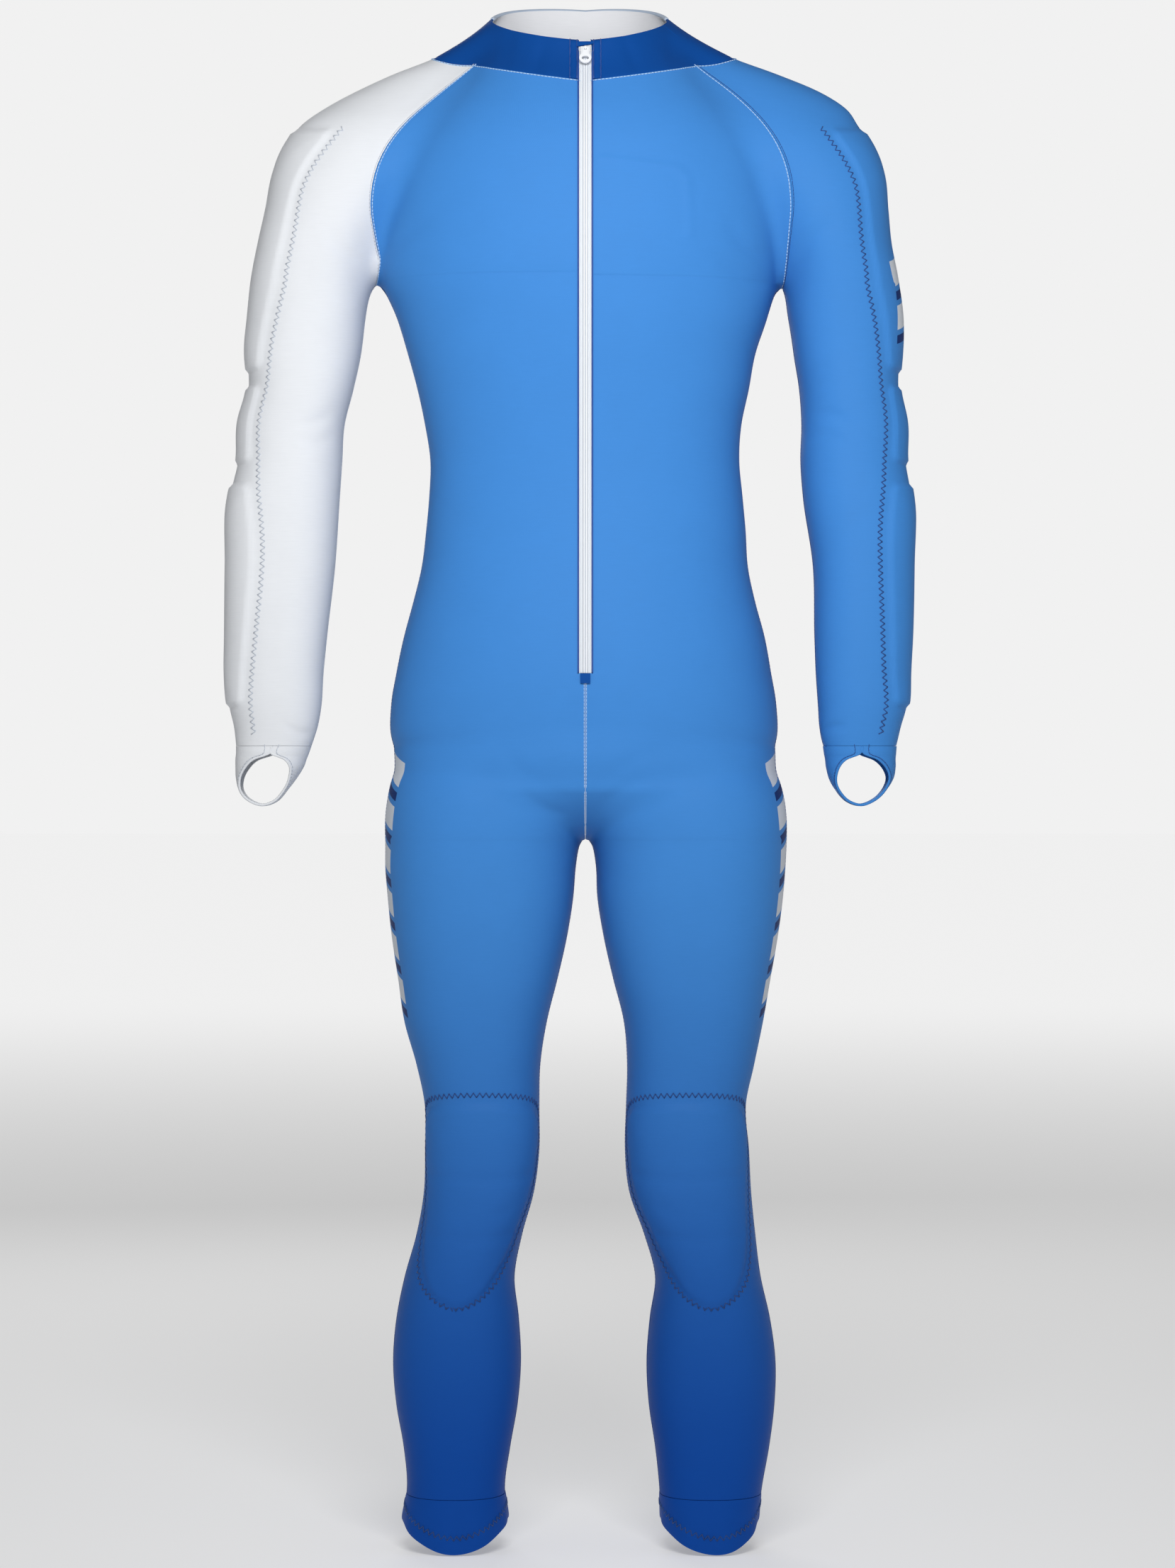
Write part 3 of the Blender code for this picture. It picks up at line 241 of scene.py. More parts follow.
class Sections:
    """The sizes of one table at any height, joined by smooth curves through its rows."""

    def __init__(self, columns, rows, keys_in_millimetres=True):
        table = np.array(sorted(rows), float)
        self.keys = table[:, 0] * (MM if keys_in_millimetres else 1)
        self.sizes = dict(zip(columns[1:], table[:, 1:].T * MM))
        self.slopes = {name: np.gradient(size, self.keys) for name, size in self.sizes.items()}

    def at(self, name, key):
        size, slope = self.sizes[name], self.slopes[name]
        key = np.clip(key, self.keys[0], self.keys[-1])
        low = np.clip(np.searchsorted(self.keys, key, side="right") - 1, 0, len(self.keys) - 2)
        step = self.keys[low + 1] - self.keys[low]
        t = (key - self.keys[low]) / step
        return (
            (1 + 2 * t) * (1 - t) ** 2 * size[low]
            + t * (1 - t) ** 2 * step * slope[low]
            + t**2 * (3 - 2 * t) * size[low + 1]
            + t**2 * (t - 1) * step * slope[low + 1]
        )


TORSO = Sections(TORSO_COLUMNS, TORSO_ROWS)
LEGS = Sections(LIMB_COLUMNS, LEG_ROWS)
ARMS = Sections(LIMB_COLUMNS, ARM_ROWS)
RAGLAN = Sections(RAGLAN_COLUMNS, RAGLAN_ROWS, keys_in_millimetres=False)
HALF_CENTRE = Sections(("height", "x"), HALF_CENTRE_ROWS)
ARM_CENTRE = Sections(("height", "right", "left"), ARM_CENTRE_ROWS)


def section_value(x, y, height, sections, low_x, high_x):
    """About how far a point is outside a section whose corners are rounded, and below zero inside it."""
    front, back = sections.at("front", height), sections.at("back", height)
    half_width, half_depth = (high_x - low_x) / 2, (back - front) / 2
    across = np.abs(x - (high_x + low_x) / 2) / half_width
    along = np.abs(y - (back + front) / 2) / half_depth
    ratio = (across**SECTION_POWER + along**SECTION_POWER) ** (1 / SECTION_POWER)
    value = (ratio - 1) * np.minimum(half_width, half_depth)
    return np.maximum(value, np.maximum(height - sections.keys[-1], sections.keys[0] - height))


def blended(a, b, width):
    """The lesser of two values, rounded where they cross."""
    near = np.maximum(width - np.abs(a - b), 0) / width
    return np.minimum(a, b) - near**2 * width / 4


def limb_value(sections, side, x, y, height):
    inner, outer = sections.at(side + "_inner", height), sections.at(side + "_outer", height)
    return section_value(x * SIDES[side], y, height, sections, inner, outer)


def form(x, y, height):
    """Below zero inside the worn suit and above zero outside it."""
    widened = CROTCH_BLEND + np.maximum(height - CROTCH_BLEND_FOOT, 0) * CROTCH_BLEND_RISE
    legs = blended(
        limb_value(LEGS, "right", x, y, height),
        limb_value(LEGS, "left", x, y, height),
        np.minimum(widened, CROTCH_BLEND_MOST),
    )
    right, left = TORSO.at("right", height), TORSO.at("left", height)
    value = blended(section_value(x, y, height, TORSO, right, left), legs, HIP_BLEND)
    for side in SIDES:
        value = blended(value, limb_value(ARMS, side, x, y, height), LIMB_BLEND)
    return value


def normals_at(points):
    """Unit vectors that point straight out of the form."""
    reach = 0.5 * MM
    x, y, height = points[..., 0], points[..., 1], points[..., 2]
    slope = np.stack(
        [
            form(x + reach, y, height) - form(x - reach, y, height),
            form(x, y + reach, height) - form(x, y - reach, height),
            form(x, y, height + reach) - form(x, y, height - reach),
        ],
        axis=-1,
    )
    return slope / np.linalg.norm(slope, axis=-1, keepdims=True)


def cast(x, y, height, toward_x, toward_y, reach):
    """Where level rays first leave the form, or their far ends if they don't."""
    x, y, height, toward_x, toward_y, reach = np.broadcast_arrays(x, y, height, toward_x, toward_y, reach)
    shares = np.linspace(0, 1, 40)
    along = reach[..., None] * shares
    outside = form(
        x[..., None] + toward_x[..., None] * along,
        y[..., None] + toward_y[..., None] * along,
        np.broadcast_to(height[..., None], along.shape),
    ) > 0
    first = np.where(outside.any(axis=-1), outside.argmax(axis=-1), len(shares) - 1)
    low, high = reach * shares[np.maximum(first - 1, 0)], reach * shares[first]
    for _ in range(11):
        middle = (low + high) / 2
        out = form(x + toward_x * middle, y + toward_y * middle, height) > 0
        low, high = np.where(out, low, middle), np.where(out, middle, high)
    return np.stack([x + toward_x * high, y + toward_y * high, height], axis=-1)


def face_point(x, height, toward):
    """The point of the form straight in front of (toward -1) or behind (toward 1) a place inside it."""
    return cast(x, 0.0, height, 0.0, float(toward), 200 * MM)


def web_height(x, y, low, high):
    """The height at which two limbs meet, above which the place is inside the form."""
    for _ in range(24):
        middle = (low + high) / 2
        inside = form(np.array(x), np.array(y), np.array(middle)) < 0
        low, high = (low, middle) if inside else (middle, high)
    return high


CROTCH_Y = float(LEGS.at("front", 665 * MM) + LEGS.at("back", 665 * MM)) / 2
CROTCH_HEIGHT = web_height(0.0, CROTCH_Y, 640 * MM, 700 * MM)
UNDERARM = {
    side: web_height(sign * VALLEY[side], 0.0, 1150 * MM, 1215 * MM) for side, sign in SIDES.items()
}


def spaced(length, count, reference, weight):
    """Distances along a stretch from its settled end: those of the reference length, drawn in gradually
    at the far end where a seam cuts the stretch short. At weight 1 they are even."""
    last = count - 1
    step = (reference + (length - reference) * weight) / last
    number = np.arange(count)
    return step * number + (length - last * step) * (number / last) ** 3


def row(
    side, centre, start, end, ways, count, limits, crown=0.0, settled="start", reference=0.0, weight=1.0
):
    """Points evenly spaced over the form, from one seam point round to another.

    The rays leave the centre's line (a function of height), between the angles of the two ends. A
    point on the inner side is reached by way of the front (-1) or of the back (1). The rays stop at
    the limits, which are distances from the suit's middle plane. The rest says how points are spaced.
    """
    sign = SIDES[side]
    angles = []
    for point, way in zip((start, end), ways):
        middle_x, middle_y = centre(point[2])
        angle = math.atan2(point[1] - middle_y, sign * point[0] - middle_x)
        if way * angle < -math.pi / 2:
            angle += way * 2 * math.pi
        angles.append(angle)
    first, last = angles
    share = np.linspace(0, 1, 8 * count)
    angle = first + (last - first) * share
    height = start[2] + (end[2] - start[2]) * share + crown * np.sin(math.pi * share)
    middle_x, middle_y = centre(height)
    toward_x, toward_y = np.cos(angle), np.sin(angle)
    low, high = limits
    reach = np.full(share.shape, 190 * MM)
    inward = toward_x < -1e-6
    outward = toward_x > 1e-6
    reach[inward] = np.minimum(reach, (low - middle_x) / np.where(inward, toward_x, -1))[inward]
    reach[outward] = np.minimum(reach, (high - middle_x) / np.where(outward, toward_x, 1))[outward]
    points = cast(sign * middle_x, middle_y, height, sign * toward_x, toward_y, reach)
    points[0], points[-1] = start, end
    along = np.concatenate([[0], np.cumsum(np.linalg.norm(np.diff(points, axis=0), axis=1))])
    length = along[-1]
    if settled == "start":
        places = spaced(length, count, reference, weight)
    elif settled == "end":
        places = length - spaced(length, count, reference, weight)[::-1]
    else:
        middle = float(np.interp(0.0, angle, along))
        half = count // 2 + 1
        before = middle - spaced(middle, half, reference / 2, weight)[::-1]
        after = middle + spaced(length - middle, half, reference / 2, weight)
        places = np.concatenate([before, after[1:]])
    return np.stack([np.interp(places, along, points[:, i]) for i in range(3)], axis=-1)


def length_of(line):
    return float(np.linalg.norm(np.diff(line, axis=0), axis=1).sum())


def half_centre(height):
    return HALF_CENTRE.at("x", height), 0.0 * height


def arm_centre(side):
    def centre(height):
        own_x = (ARMS.at(side + "_inner", height) + ARMS.at(side + "_outer", height)) / 2
        x = np.where(height < ARM_CENTRE.keys[0], own_x, ARM_CENTRE.at(side, height))
        return x, (ARMS.at("front", height) + ARMS.at("back", height)) / 2

    return centre


def raglan_point(side, toward, step):
    """A point of the seam between body and sleeve, on the front (-1) or the back (1)."""
    sign, web = SIDES[side], UNDERARM[side]
    if step == 0:
        return np.array([sign * VALLEY[side], 0.0, web])
    name, name_x = ("front", "front_x_" + side) if toward < 0 else ("back", "back_x")
    first = min(step, 1.0)
    x = VALLEY[side] + (float(RAGLAN.at(name_x, max(step, 1.0))) - VALLEY[side]) * first
    height = web + (float(RAGLAN.at(name, max(step, 1.0))) - web) * first**2
    return face_point(sign * x, height, toward)


def middle_height(side, name, step):
    """The height of a raglan row at the suit's centre front or back, or at the top of the arm."""
    first = min(step, 1.0)
    web = UNDERARM[side]
    return web + (float(RAGLAN.at(name, max(step, 1.0))) - web) * first**2


def zip_edge(height):
    """How far the fronts stand from the middle plane: apart at the zip, sewn together below it."""
    return ZIP_HALF if height >= ZIP_END else 0.0


def half_panel(side, toward, columns=HALF_COLUMNS):
    """The rows of one front (-1) or back (1), from the hem band up to the neckline."""
    sign = SIDES[side]
    ways = (toward, toward)
    valley = VALLEY[side]
    rows = []

    def side_point(height):
        middle = float(HALF_CENTRE.at("x", height))
        reach = valley - middle if height > WAIST_HEIGHT else LEG_RAY
        return cast(sign * middle, 0.0, height, float(sign), 0.0, reach)

    def centre_point(height):
        if toward > 0:
            return face_point(0.0, height, toward)
        return face_point(sign * zip_edge(height), height, toward)

    for height in LEG_LEVELS:
        middle = float(HALF_CENTRE.at("x", height))
        inner = cast(sign * middle, 0.0, height, -float(sign), 0.0, middle)
        rows.append(row(side, half_centre, inner, side_point(height), ways, columns, (0.0, BODY_REACH)))
    leg_length = length_of(rows[-1])
    for rise in CROTCH_RISES:
        height = CROTCH_HEIGHT + rise
        settled = {"settled": "end", "reference": leg_length, "weight": min(rise / CROTCH_SETTLES, 1.0)}
        if rise == 0:
            inner = np.array([0.0, CROTCH_Y, height])
        else:
            inner = cast(0.0, CROTCH_Y, height, 0.0, float(toward), 200 * MM)
        limits = (0.0, BODY_REACH)
        rows.append(row(side, half_centre, inner, side_point(height), ways, columns, limits, **settled))
    for height in TORSO_LEVELS:
        start = centre_point(height)
        rows.append(row(side, half_centre, start, side_point(height), ways, columns, (0.0, valley)))
    name = "centre_front" if toward < 0 else "centre_back"
    side_length = length_of(rows[-1])
    for step in RAGLAN_STEPS:
        settled = {"reference": side_length, "weight": min(step / UNDERARM_SETTLES, 1.0)}
        start = centre_point(middle_height(side, name, step))
        end = raglan_point(side, toward, step)
        rows.append(row(side, half_centre, start, end, ways, columns, (0.0, BODY_REACH), **settled))
    return np.array(rows)


def sleeve_panel(side, columns=SLEEVE_COLUMNS):
    """The rows of one sleeve, from the cuff up to the neckline: round the arm, then over the shoulder."""
    sign = SIDES[side]
    centre = arm_centre(side)
    rows = []
    for height in SLEEVE_LEVELS:
        middle_x, middle_y = (float(v) for v in centre(np.array(height)))
        low = VALLEY[side] if height > UNDERARM_LOW else ARM_LIMIT_BELOW
        inner = cast(sign * middle_x, middle_y, height, -float(sign), 0.0, middle_x - low)
        limits = (low, ARM_REACH)
        rows.append(row(side, centre, inner, inner, (-1, 1), columns, limits, settled="middle"))
    ring_length = length_of(rows[-1])
    for step in RAGLAN_STEPS:
        settled = {
            "settled": "middle", "reference": ring_length, "weight": min(step / UNDERARM_SETTLES, 1.0)
        }
        start, end = raglan_point(side, -1, step), raglan_point(side, 1, step)
        level = (start[2] + end[2]) / 2
        crown = middle_height(side, "ridge", step) - level
        low = 0.0 if step > 1 else VALLEY[side]
        rows.append(row(side, centre, start, end, (-1, 1), columns, (low, ARM_REACH), crown, **settled))
    return np.array(rows)


GRID_EDGES = {  # the border line of a grid, and the line beside it
    "first": ((slice(None), 0), (slice(None), 1)),
    "last": ((slice(None), -1), (slice(None), -2)),
    "foot": ((0, slice(None)), (1, slice(None))),
    "top": ((-1, slice(None)), (-2, slice(None))),
}


def trimmed(points, normals, edges):
    """The grid with the named edges moved in over its own surface by the given distances."""
    moved = points.copy()
    for edge, step_in in edges.items():
        line, beside = GRID_EDGES[edge]
        border = points[line]
        inward = np.cross(normals[line], np.gradient(border, axis=0))
        inward /= np.linalg.norm(inward, axis=-1, keepdims=True)
        facing = np.sign(np.sum(inward * (points[beside] - border), axis=-1))
        moved[line] += inward * (facing * step_in)[:, None]
    return moved


def seam_trims(points, junctions=()):
    """Half a seam gap along all four edges, and more where four pieces meet."""
    along = np.full(points.shape[0], SEAM_GAP / 2)
    for junction in junctions:
        along[junction - 2 : junction + 3] = JUNCTION_GAP / 2
    across = np.full(points.shape[1], SEAM_GAP / 2)
    return {"first": along, "last": along, "foot": across, "top": across}


def wall_faces(rows, columns, ring=False):
    """The faces of a closed wall made of an outer grid and, behind it, an inner one."""
    count = rows * columns
    faces = []
    across = columns if ring else columns - 1
    for j in range(rows - 1):
        for i in range(across):
            a, b = j * columns + i, j * columns + (i + 1) % columns
            c, d = b + columns, a + columns
            faces.append((a, b, c, d))
            faces.append((count + d, count + c, count + b, count + a))
    for i in range(across):
        k = (i + 1) % columns
        faces.append((k, i, count + i, count + k))
        top = (rows - 1) * columns
        faces.append((top + i, top + k, count + top + k, count + top + i))
    if not ring:
        for j in range(rows - 1):
            a, d = j * columns, (j + 1) * columns
            faces.append((a, d, count + d, count + a))
            b, c = a + columns - 1, d + columns - 1
            faces.append((c, b, count + b, count + c))
    return faces


def grid_normals(points, outward):
    """Unit vectors square to a grid of points, on the side that outward points to at its middle."""
    down, across = np.gradient(points, axis=0), np.gradient(points, axis=1)
    normals = np.cross(down, across)
    normals /= np.linalg.norm(normals, axis=-1, keepdims=True)
    middle = normals[normals.shape[0] // 2, normals.shape[1] // 2]
    return normals * np.sign(np.dot(middle, outward))


def rim_point(angle, sign):
    """A point of the collar's top edge. The angle is 0 at the front and pi at the back."""
    share = (1 - math.cos(angle)) / 2
    width = max(RIM_HALF_WIDTH * math.sin(angle), ZIP_HALF * (1 - share))
    x = sign * width - RIM_SHIFT * math.sin(angle)
    y = RIM_FRONT + (RIM_BACK - RIM_FRONT) * share
    height = RIM_FRONT_HEIGHT + (RIM_BACK_HEIGHT - RIM_FRONT_HEIGHT) * share
    return np.array([x, y, height + RIM_SIDE_LIFT * math.sin(angle)])

# Finer rows and columns than the solids have, on the same form

ROW_STEP, SLEEVE_STEP, RAGLAN_FINER = 12 * MM, 8.4 * MM, 0.4
ROWS_BETWEEN = 3  # rows of the shell for each of these
HALF_FINER = tuple(np.concatenate([[0, 0.12, 0.3], np.arange(0.5, 7.9, 0.16), [7.92, 8]]))
SLEEVE_FINER = tuple(np.concatenate([[0, 0.1, 0.25], np.arange(0.4, 15.7, 0.14), [15.75, 15.9, 16]]))


def filled(levels, step):
    """The same levels with more between them, no further apart than a step."""
    out = []
    for low, high in zip(levels, levels[1:]):
        count = max(1, math.ceil((high - low) / step))
        out.extend(low + (high - low) * i / count for i in range(count))
    return tuple(out) + (levels[-1],)


def hermite(a, b, slope_a, slope_b, t):
    return (
        (1 + 2 * t) * (1 - t) ** 2 * a
        + t * (1 - t) ** 2 * slope_a
        + t**2 * (3 - 2 * t) * b
        + t**2 * (t - 1) * slope_b
    )


def columns_at(points, places):
    """The grid with its columns at the given places along its rows, joined by smooth curves."""
    slope = np.gradient(points, axis=1)
    low = np.clip(np.floor(places).astype(int), 0, points.shape[1] - 2)
    t = (np.array(places) - low)[None, :, None]
    return hermite(points[:, low], points[:, low + 1], slope[:, low], slope[:, low + 1], t)


def with_rows_between(points):
    """The grid with its rows divided evenly."""
    places = np.arange((len(points) - 1) * ROWS_BETWEEN + 1) / ROWS_BETWEEN
    low = np.minimum(places.astype(int), len(points) - 2)
    share = (places - low)[:, None, None]
    return points[low] * (1 - share) + points[low + 1] * share


def settled_on_form(points, rounds=3):
    """Points moved straight onto the form."""
    reach = 0.5 * MM
    for _ in range(rounds):
        x, y, height = points[..., 0], points[..., 1], points[..., 2]
        slope = np.stack(
            [
                form(x + reach, y, height) - form(x - reach, y, height),
                form(x, y + reach, height) - form(x, y - reach, height),
                form(x, y, height + reach) - form(x, y, height - reach),
            ],
            axis=-1,
        ) / (2 * reach)
        square = np.maximum(np.sum(slope**2, axis=-1), 0.2)
        points = points - slope * (form(x, y, height) / square)[..., None]
    return points


def smoothly(low, high, value):
    """0 below low, 1 above high and a soft step between."""
    t = np.clip((value - low) / (high - low), 0, 1)
    return t * t * (3 - 2 * t)


class Panel:
    """A grid on the form with its normals, and the cloth's outer side once it is raised."""

    def __init__(self, points, shares):
        self.points = settled_on_form(with_rows_between(points))
        self.normals = normals_at(self.points)
        self.shares = np.array(shares) / shares[-1]
        self.levels = self.points[:, points.shape[1] // 2, 2]
        steps = np.linalg.norm(np.diff(self.points, axis=1), axis=-1)
        self.lengths = steps.sum(axis=1)
        self.outer = self.points

    def raised(self, relief):
        self.outer = self.points + self.normals * relief[..., None]

    def at(self, share, level, lift=0.0):
        """A point of the outer side and the way out of it."""
        j = float(np.interp(level, self.levels, np.arange(len(self.levels))))
        return self.near(share, j, lift)

    def near(self, share, j, lift=0.0):
        i = float(np.interp(share, self.shares, np.arange(len(self.shares))))
        a, b = min(int(j), len(self.levels) - 2), min(int(i), len(self.shares) - 2)
        s, t = j - a, i - b
        out = []
        for grid in (self.outer, self.normals):
            low = grid[a, b] * (1 - t) + grid[a, b + 1] * t
            high = grid[a + 1, b] * (1 - t) + grid[a + 1, b + 1] * t
            out.append(low * (1 - s) + high * s)
        point, normal = out
        normal = normal / np.linalg.norm(normal)
        return point + normal * lift, normal


def line_on(panel, places, lift=0.0):
    """Points and ways out along a list of (share, height) places of a panel."""
    pairs = [panel.at(share, level, lift) for share, level in places]
    return np.array([p for p, _ in pairs]), np.array([n for _, n in pairs])


# Shells

CLOTH_SHELL = 1.2 * MM
SEAM_SINK, SEAM_SINK_WIDTH = 0.5 * MM, 2.2 * MM

CREASES = (  # front -1 or back 1, where it starts and ends (x and height), its depth and its width, in mm
    (-1, -14, 688, -62, 716, 1.4, 6), (-1, -12, 706, -78, 752, 1.0, 8), (-1, 12, 690, 58, 722, 1.3, 6),
    (-1, 12, 712, 84, 748, 0.9, 8), (-1, -96, 930, -40, 944, 0.5, 10), (-1, 100, 936, 44, 948, 0.5, 10),
    (-1, 172, 1196, 128, 1232, 1.3, 8), (-1, 176, 1178, 120, 1196, 1.0, 9),
    (-1, -184, 1198, -134, 1230, 1.3, 8),
    (-1, -186, 1182, -130, 1190, 0.9, 9), (-1, 196, 1196, 226, 1232, 1.2, 7),
    (-1, -206, 1196, -236, 1230, 1.2, 7),
    (-1, 208, 1058, 244, 1046, 1.2, 6), (-1, 206, 1036, 240, 1030, 0.9, 6),
    (-1, -232, 1060, -268, 1048, 1.2, 6),
    (-1, -230, 1038, -264, 1032, 0.9, 6), (-1, 212, 762, 240, 770, 1.3, 4),
    (-1, -246, 764, -276, 772, 1.3, 4),
    (-1, 62, 330, 84, 322, 1.0, 6), (-1, 128, 226, 100, 214, 0.8, 7), (-1, -68, 332, -88, 322, 1.0, 6),
    (-1, -132, 224, -104, 216, 0.8, 7), (-1, -120, 92, -84, 84, 0.9, 6), (-1, 118, 94, 82, 86, 0.9, 6),
    (1, -20, 700, -92, 688, 2.2, 9), (1, 22, 702, 96, 688, 2.0, 9), (1, -24, 720, -100, 742, 1.1, 10),
    (1, 26, 722, 98, 740, 1.2, 10), (1, -70, 372, -132, 366, 2.0, 7), (1, -62, 350, -126, 342, 1.4, 7),
    (1, 60, 372, 124, 364, 1.9, 7), (1, 66, 348, 128, 346, 1.3, 7), (1, -74, 396, -126, 402, 1.0, 8),
    (1, 70, 398, 122, 402, 1.1, 8), (1, 176, 1192, 122, 1226, 1.6, 9), (1, -188, 1194, -130, 1228, 1.6, 9),
    (1, 204, 1196, 238, 1226, 1.3, 8), (1, -214, 1196, -248, 1228, 1.3, 8),
    (1, -88, 1020, 60, 1006, 1.2, 12),
    (1, -52, 982, 92, 992, 1.1, 12), (1, -70, 950, 40, 944, 0.8, 12), (1, 84, 96, 128, 86, 0.9, 6),
    (1, -86, 94, -132, 88, 0.9, 6),
)


def creased(panel):
    """Soft troughs where the worn cloth is slack."""
    flat = panel.points[..., [0, 2]]
    out = np.zeros(flat.shape[:2])
    for face, x1, h1, x2, h2, depth, width in CREASES:
        start, end = np.array([x1, h1]) * MM, np.array([x2, h2]) * MM
        way = end - start
        t = np.clip(((flat - start) @ way) / (way @ way), 0, 1)
        bow = np.stack([-way[1], way[0]]) * 0.12 * np.sin(math.pi * t)[..., None]
        far = np.linalg.norm(flat - start - way * t[..., None] - bow, axis=-1)
        facing = smoothly(0.1, 0.6, face * panel.normals[..., 1])
        soft = np.exp(-((far / (width * MM)) ** 2)) * (0.2 + 0.8 * np.sin(math.pi * t))
        out -= depth * MM * soft * facing
    return out


def pad_depth(panel, low, high, bottom, top, corner):
    """How far inside a pad's outline each point is. Low and high are its edges as shares of each row."""
    middle, half = (low + high) / 2, (high - low) / 2
    lateral = (half - np.abs(panel.shares[None, :] - middle)) * panel.lengths[:, None]
    level = panel.levels[:, None] + 0 * lateral
    across, along = corner - lateral, corner - np.minimum(level - bottom, top - level)
    beyond = np.hypot(np.maximum(across, 0), np.maximum(along, 0))
    return corner - (np.minimum(np.maximum(across, along), 0) + beyond)


def lifted(depth, rise, edge, dome):
    return rise * smoothly(0, edge, depth) + dome * smoothly(0, 34 * MM, depth)


KNEE = Sections(KNEE_PAD_COLUMNS, KNEE_PAD_ROWS)
ARM = Sections(ARM_PAD_COLUMNS, ARM_PAD_ROWS)
KNEE_TOP, KNEE_DROP, KNEE_BOTTOM, KNEE_CORNER = 424 * MM, 9 * MM, 232 * MM, 16 * MM
KNEE_GROOVES = ((354, 1.1, 6), (300, 1.0, 6))  # height, depth and width in millimetres
ARM_CORNER = 9 * MM
PAD_RISE, PAD_RAMP, PAD_DOME = 2.9 * MM, 5 * MM, 1.5 * MM


def knee_relief(panel):
    half = (KNEE.at("half_share", panel.levels) / MM)[:, None]
    share = (panel.shares[None, :] - 0.5) / 0.365
    top = KNEE_TOP - KNEE_DROP * share**2
    depth = pad_depth(panel, 0.5 - half, 0.5 + half, KNEE_BOTTOM, top, KNEE_CORNER)
    out = lifted(depth, PAD_RISE, PAD_RAMP, PAD_DOME)
    for height, deep, width in KNEE_GROOVES:
        far = (panel.levels[:, None] - height * MM - 5 * MM * share**2) / (width * MM)
        out -= deep * MM * np.exp(-(far**2)) * smoothly(2 * MM, 14 * MM, depth)
    return out


def arm_relief(panel):
    low = (ARM.at("front_share", panel.levels) / MM)[:, None]
    high = (ARM.at("back_share", panel.levels) / MM)[:, None]
    out = np.zeros(panel.points.shape[:2])
    for bottom, top in ARM_PADS.values():
        depth = pad_depth(panel, low, high, bottom * MM, top * MM, ARM_CORNER)
        out = np.maximum(out, lifted(depth, PAD_RISE, PAD_RAMP, PAD_DOME * 0.7))
    return out


def seam_sink(panel):
    """The cloth dips a little into each seam."""
    steps = np.linalg.norm(np.diff(panel.points, axis=1), axis=-1)
    from_first = np.concatenate([np.zeros((len(steps), 1)), np.cumsum(steps, axis=1)], axis=1)
    from_last = from_first[:, -1:] - from_first
    near = np.minimum(from_first, from_last)
    return -SEAM_SINK * np.exp(-((near / SEAM_SINK_WIDTH) ** 2))


def mesh_object(name, points, faces, material, uv=None):
    points = np.asarray(points, float).reshape(-1, 3) - (0, 0, ORIGIN_HEIGHT)
    faces = np.asarray(faces)
    mesh = bpy.data.meshes.new(name)
    mesh.from_pydata(points.tolist(), [], faces.tolist())
    if uv is not None:
        layer = mesh.uv_layers.new(name="cut")
        layer.data.foreach_set("uv", np.asarray(uv, np.float32).reshape(-1, 2)[faces.ravel()].ravel())
    mesh.shade_smooth()
    mesh.set_sharp_from_angle(angle=math.radians(60))
    mesh.materials.append(material)
    obj = bpy.data.objects.new(name, mesh)
    bpy.context.scene.collection.objects.link(obj)
    return obj


def shell(name, outer, inner, material, uv=None, ring=False):
    """A closed wall between two grids."""
    rows, columns = outer.shape[:2]
    faces = np.array(wall_faces(rows, columns, ring))
    a, b, c = (outer[j, i] for j, i in ((rows // 2, 0), (rows // 2, 1), (rows // 2 - 1, 0)))
    away = outer[rows // 2, 0] - inner[rows // 2, 0]
    if np.dot(np.cross(b - a, a - c), away) < 0:
        faces = faces[:, ::-1]
    points = np.concatenate([outer.reshape(-1, 3), inner.reshape(-1, 3)])
    both = None if uv is None else np.concatenate([uv.reshape(-1, 2)] * 2)
    return mesh_object(name, points, faces, material, both)


def tube(name, line, outward, radius, material, sides=8, closed=False, flat=1.0):
    """A round or flattened thread along a line."""
    along = np.gradient(line, axis=0)
    if closed:
        along = np.roll(line, -1, axis=0) - np.roll(line, 1, axis=0)
    along /= np.linalg.norm(along, axis=1, keepdims=True)
    across = np.cross(along, outward)
    across /= np.linalg.norm(across, axis=1, keepdims=True)
    out = np.cross(across, along)
    angle = np.arange(sides) * 2 * math.pi / sides
    ring = line[:, None] + radius * (
        across[:, None] * np.cos(angle)[None, :, None] + flat * out[:, None] * np.sin(angle)[None, :, None]
    )
    count = len(line)
    faces = []
    for j in range(count if closed else count - 1):
        k = (j + 1) % count
        for i in range(sides):
            m = (i + 1) % sides
            faces.append((j * sides + i, j * sides + m, k * sides + m, k * sides + i))
    points = ring.reshape(-1, 3)
    if not closed:
        centre_start, centre_end = len(points), len(points) + 1
        points = np.concatenate([points, line[:1], line[-1:]])
        last = (count - 1) * sides
        for i in range(sides):
            m = (i + 1) % sides
            faces.append((m, i, centre_start, centre_start))
            faces.append((last + i, last + m, centre_end, centre_end))
    quads = [f if f[2] != f[3] else f[:3] for f in faces]
    mesh = bpy.data.meshes.new(name)
    mesh.from_pydata((points - (0, 0, ORIGIN_HEIGHT)).tolist(), [], quads)
    mesh.shade_smooth()
    mesh.materials.append(material)
    obj = bpy.data.objects.new(name, mesh)
    bpy.context.scene.collection.objects.link(obj)
    work = bmesh.new()
    work.from_mesh(mesh)
    bmesh.ops.recalc_face_normals(work, faces=work.faces)
    work.to_mesh(mesh)
    work.free()
    return obj


# Stitches, as Geometry Nodes that set short threads along a line


def linked(tree, node, socket, value):
    """Feeds a node's input from another socket, or sets it."""
    target = node.inputs[socket]
    if isinstance(value, bpy.types.NodeSocket):
        tree.links.new(value, target)
    else:
        target.default_value = value


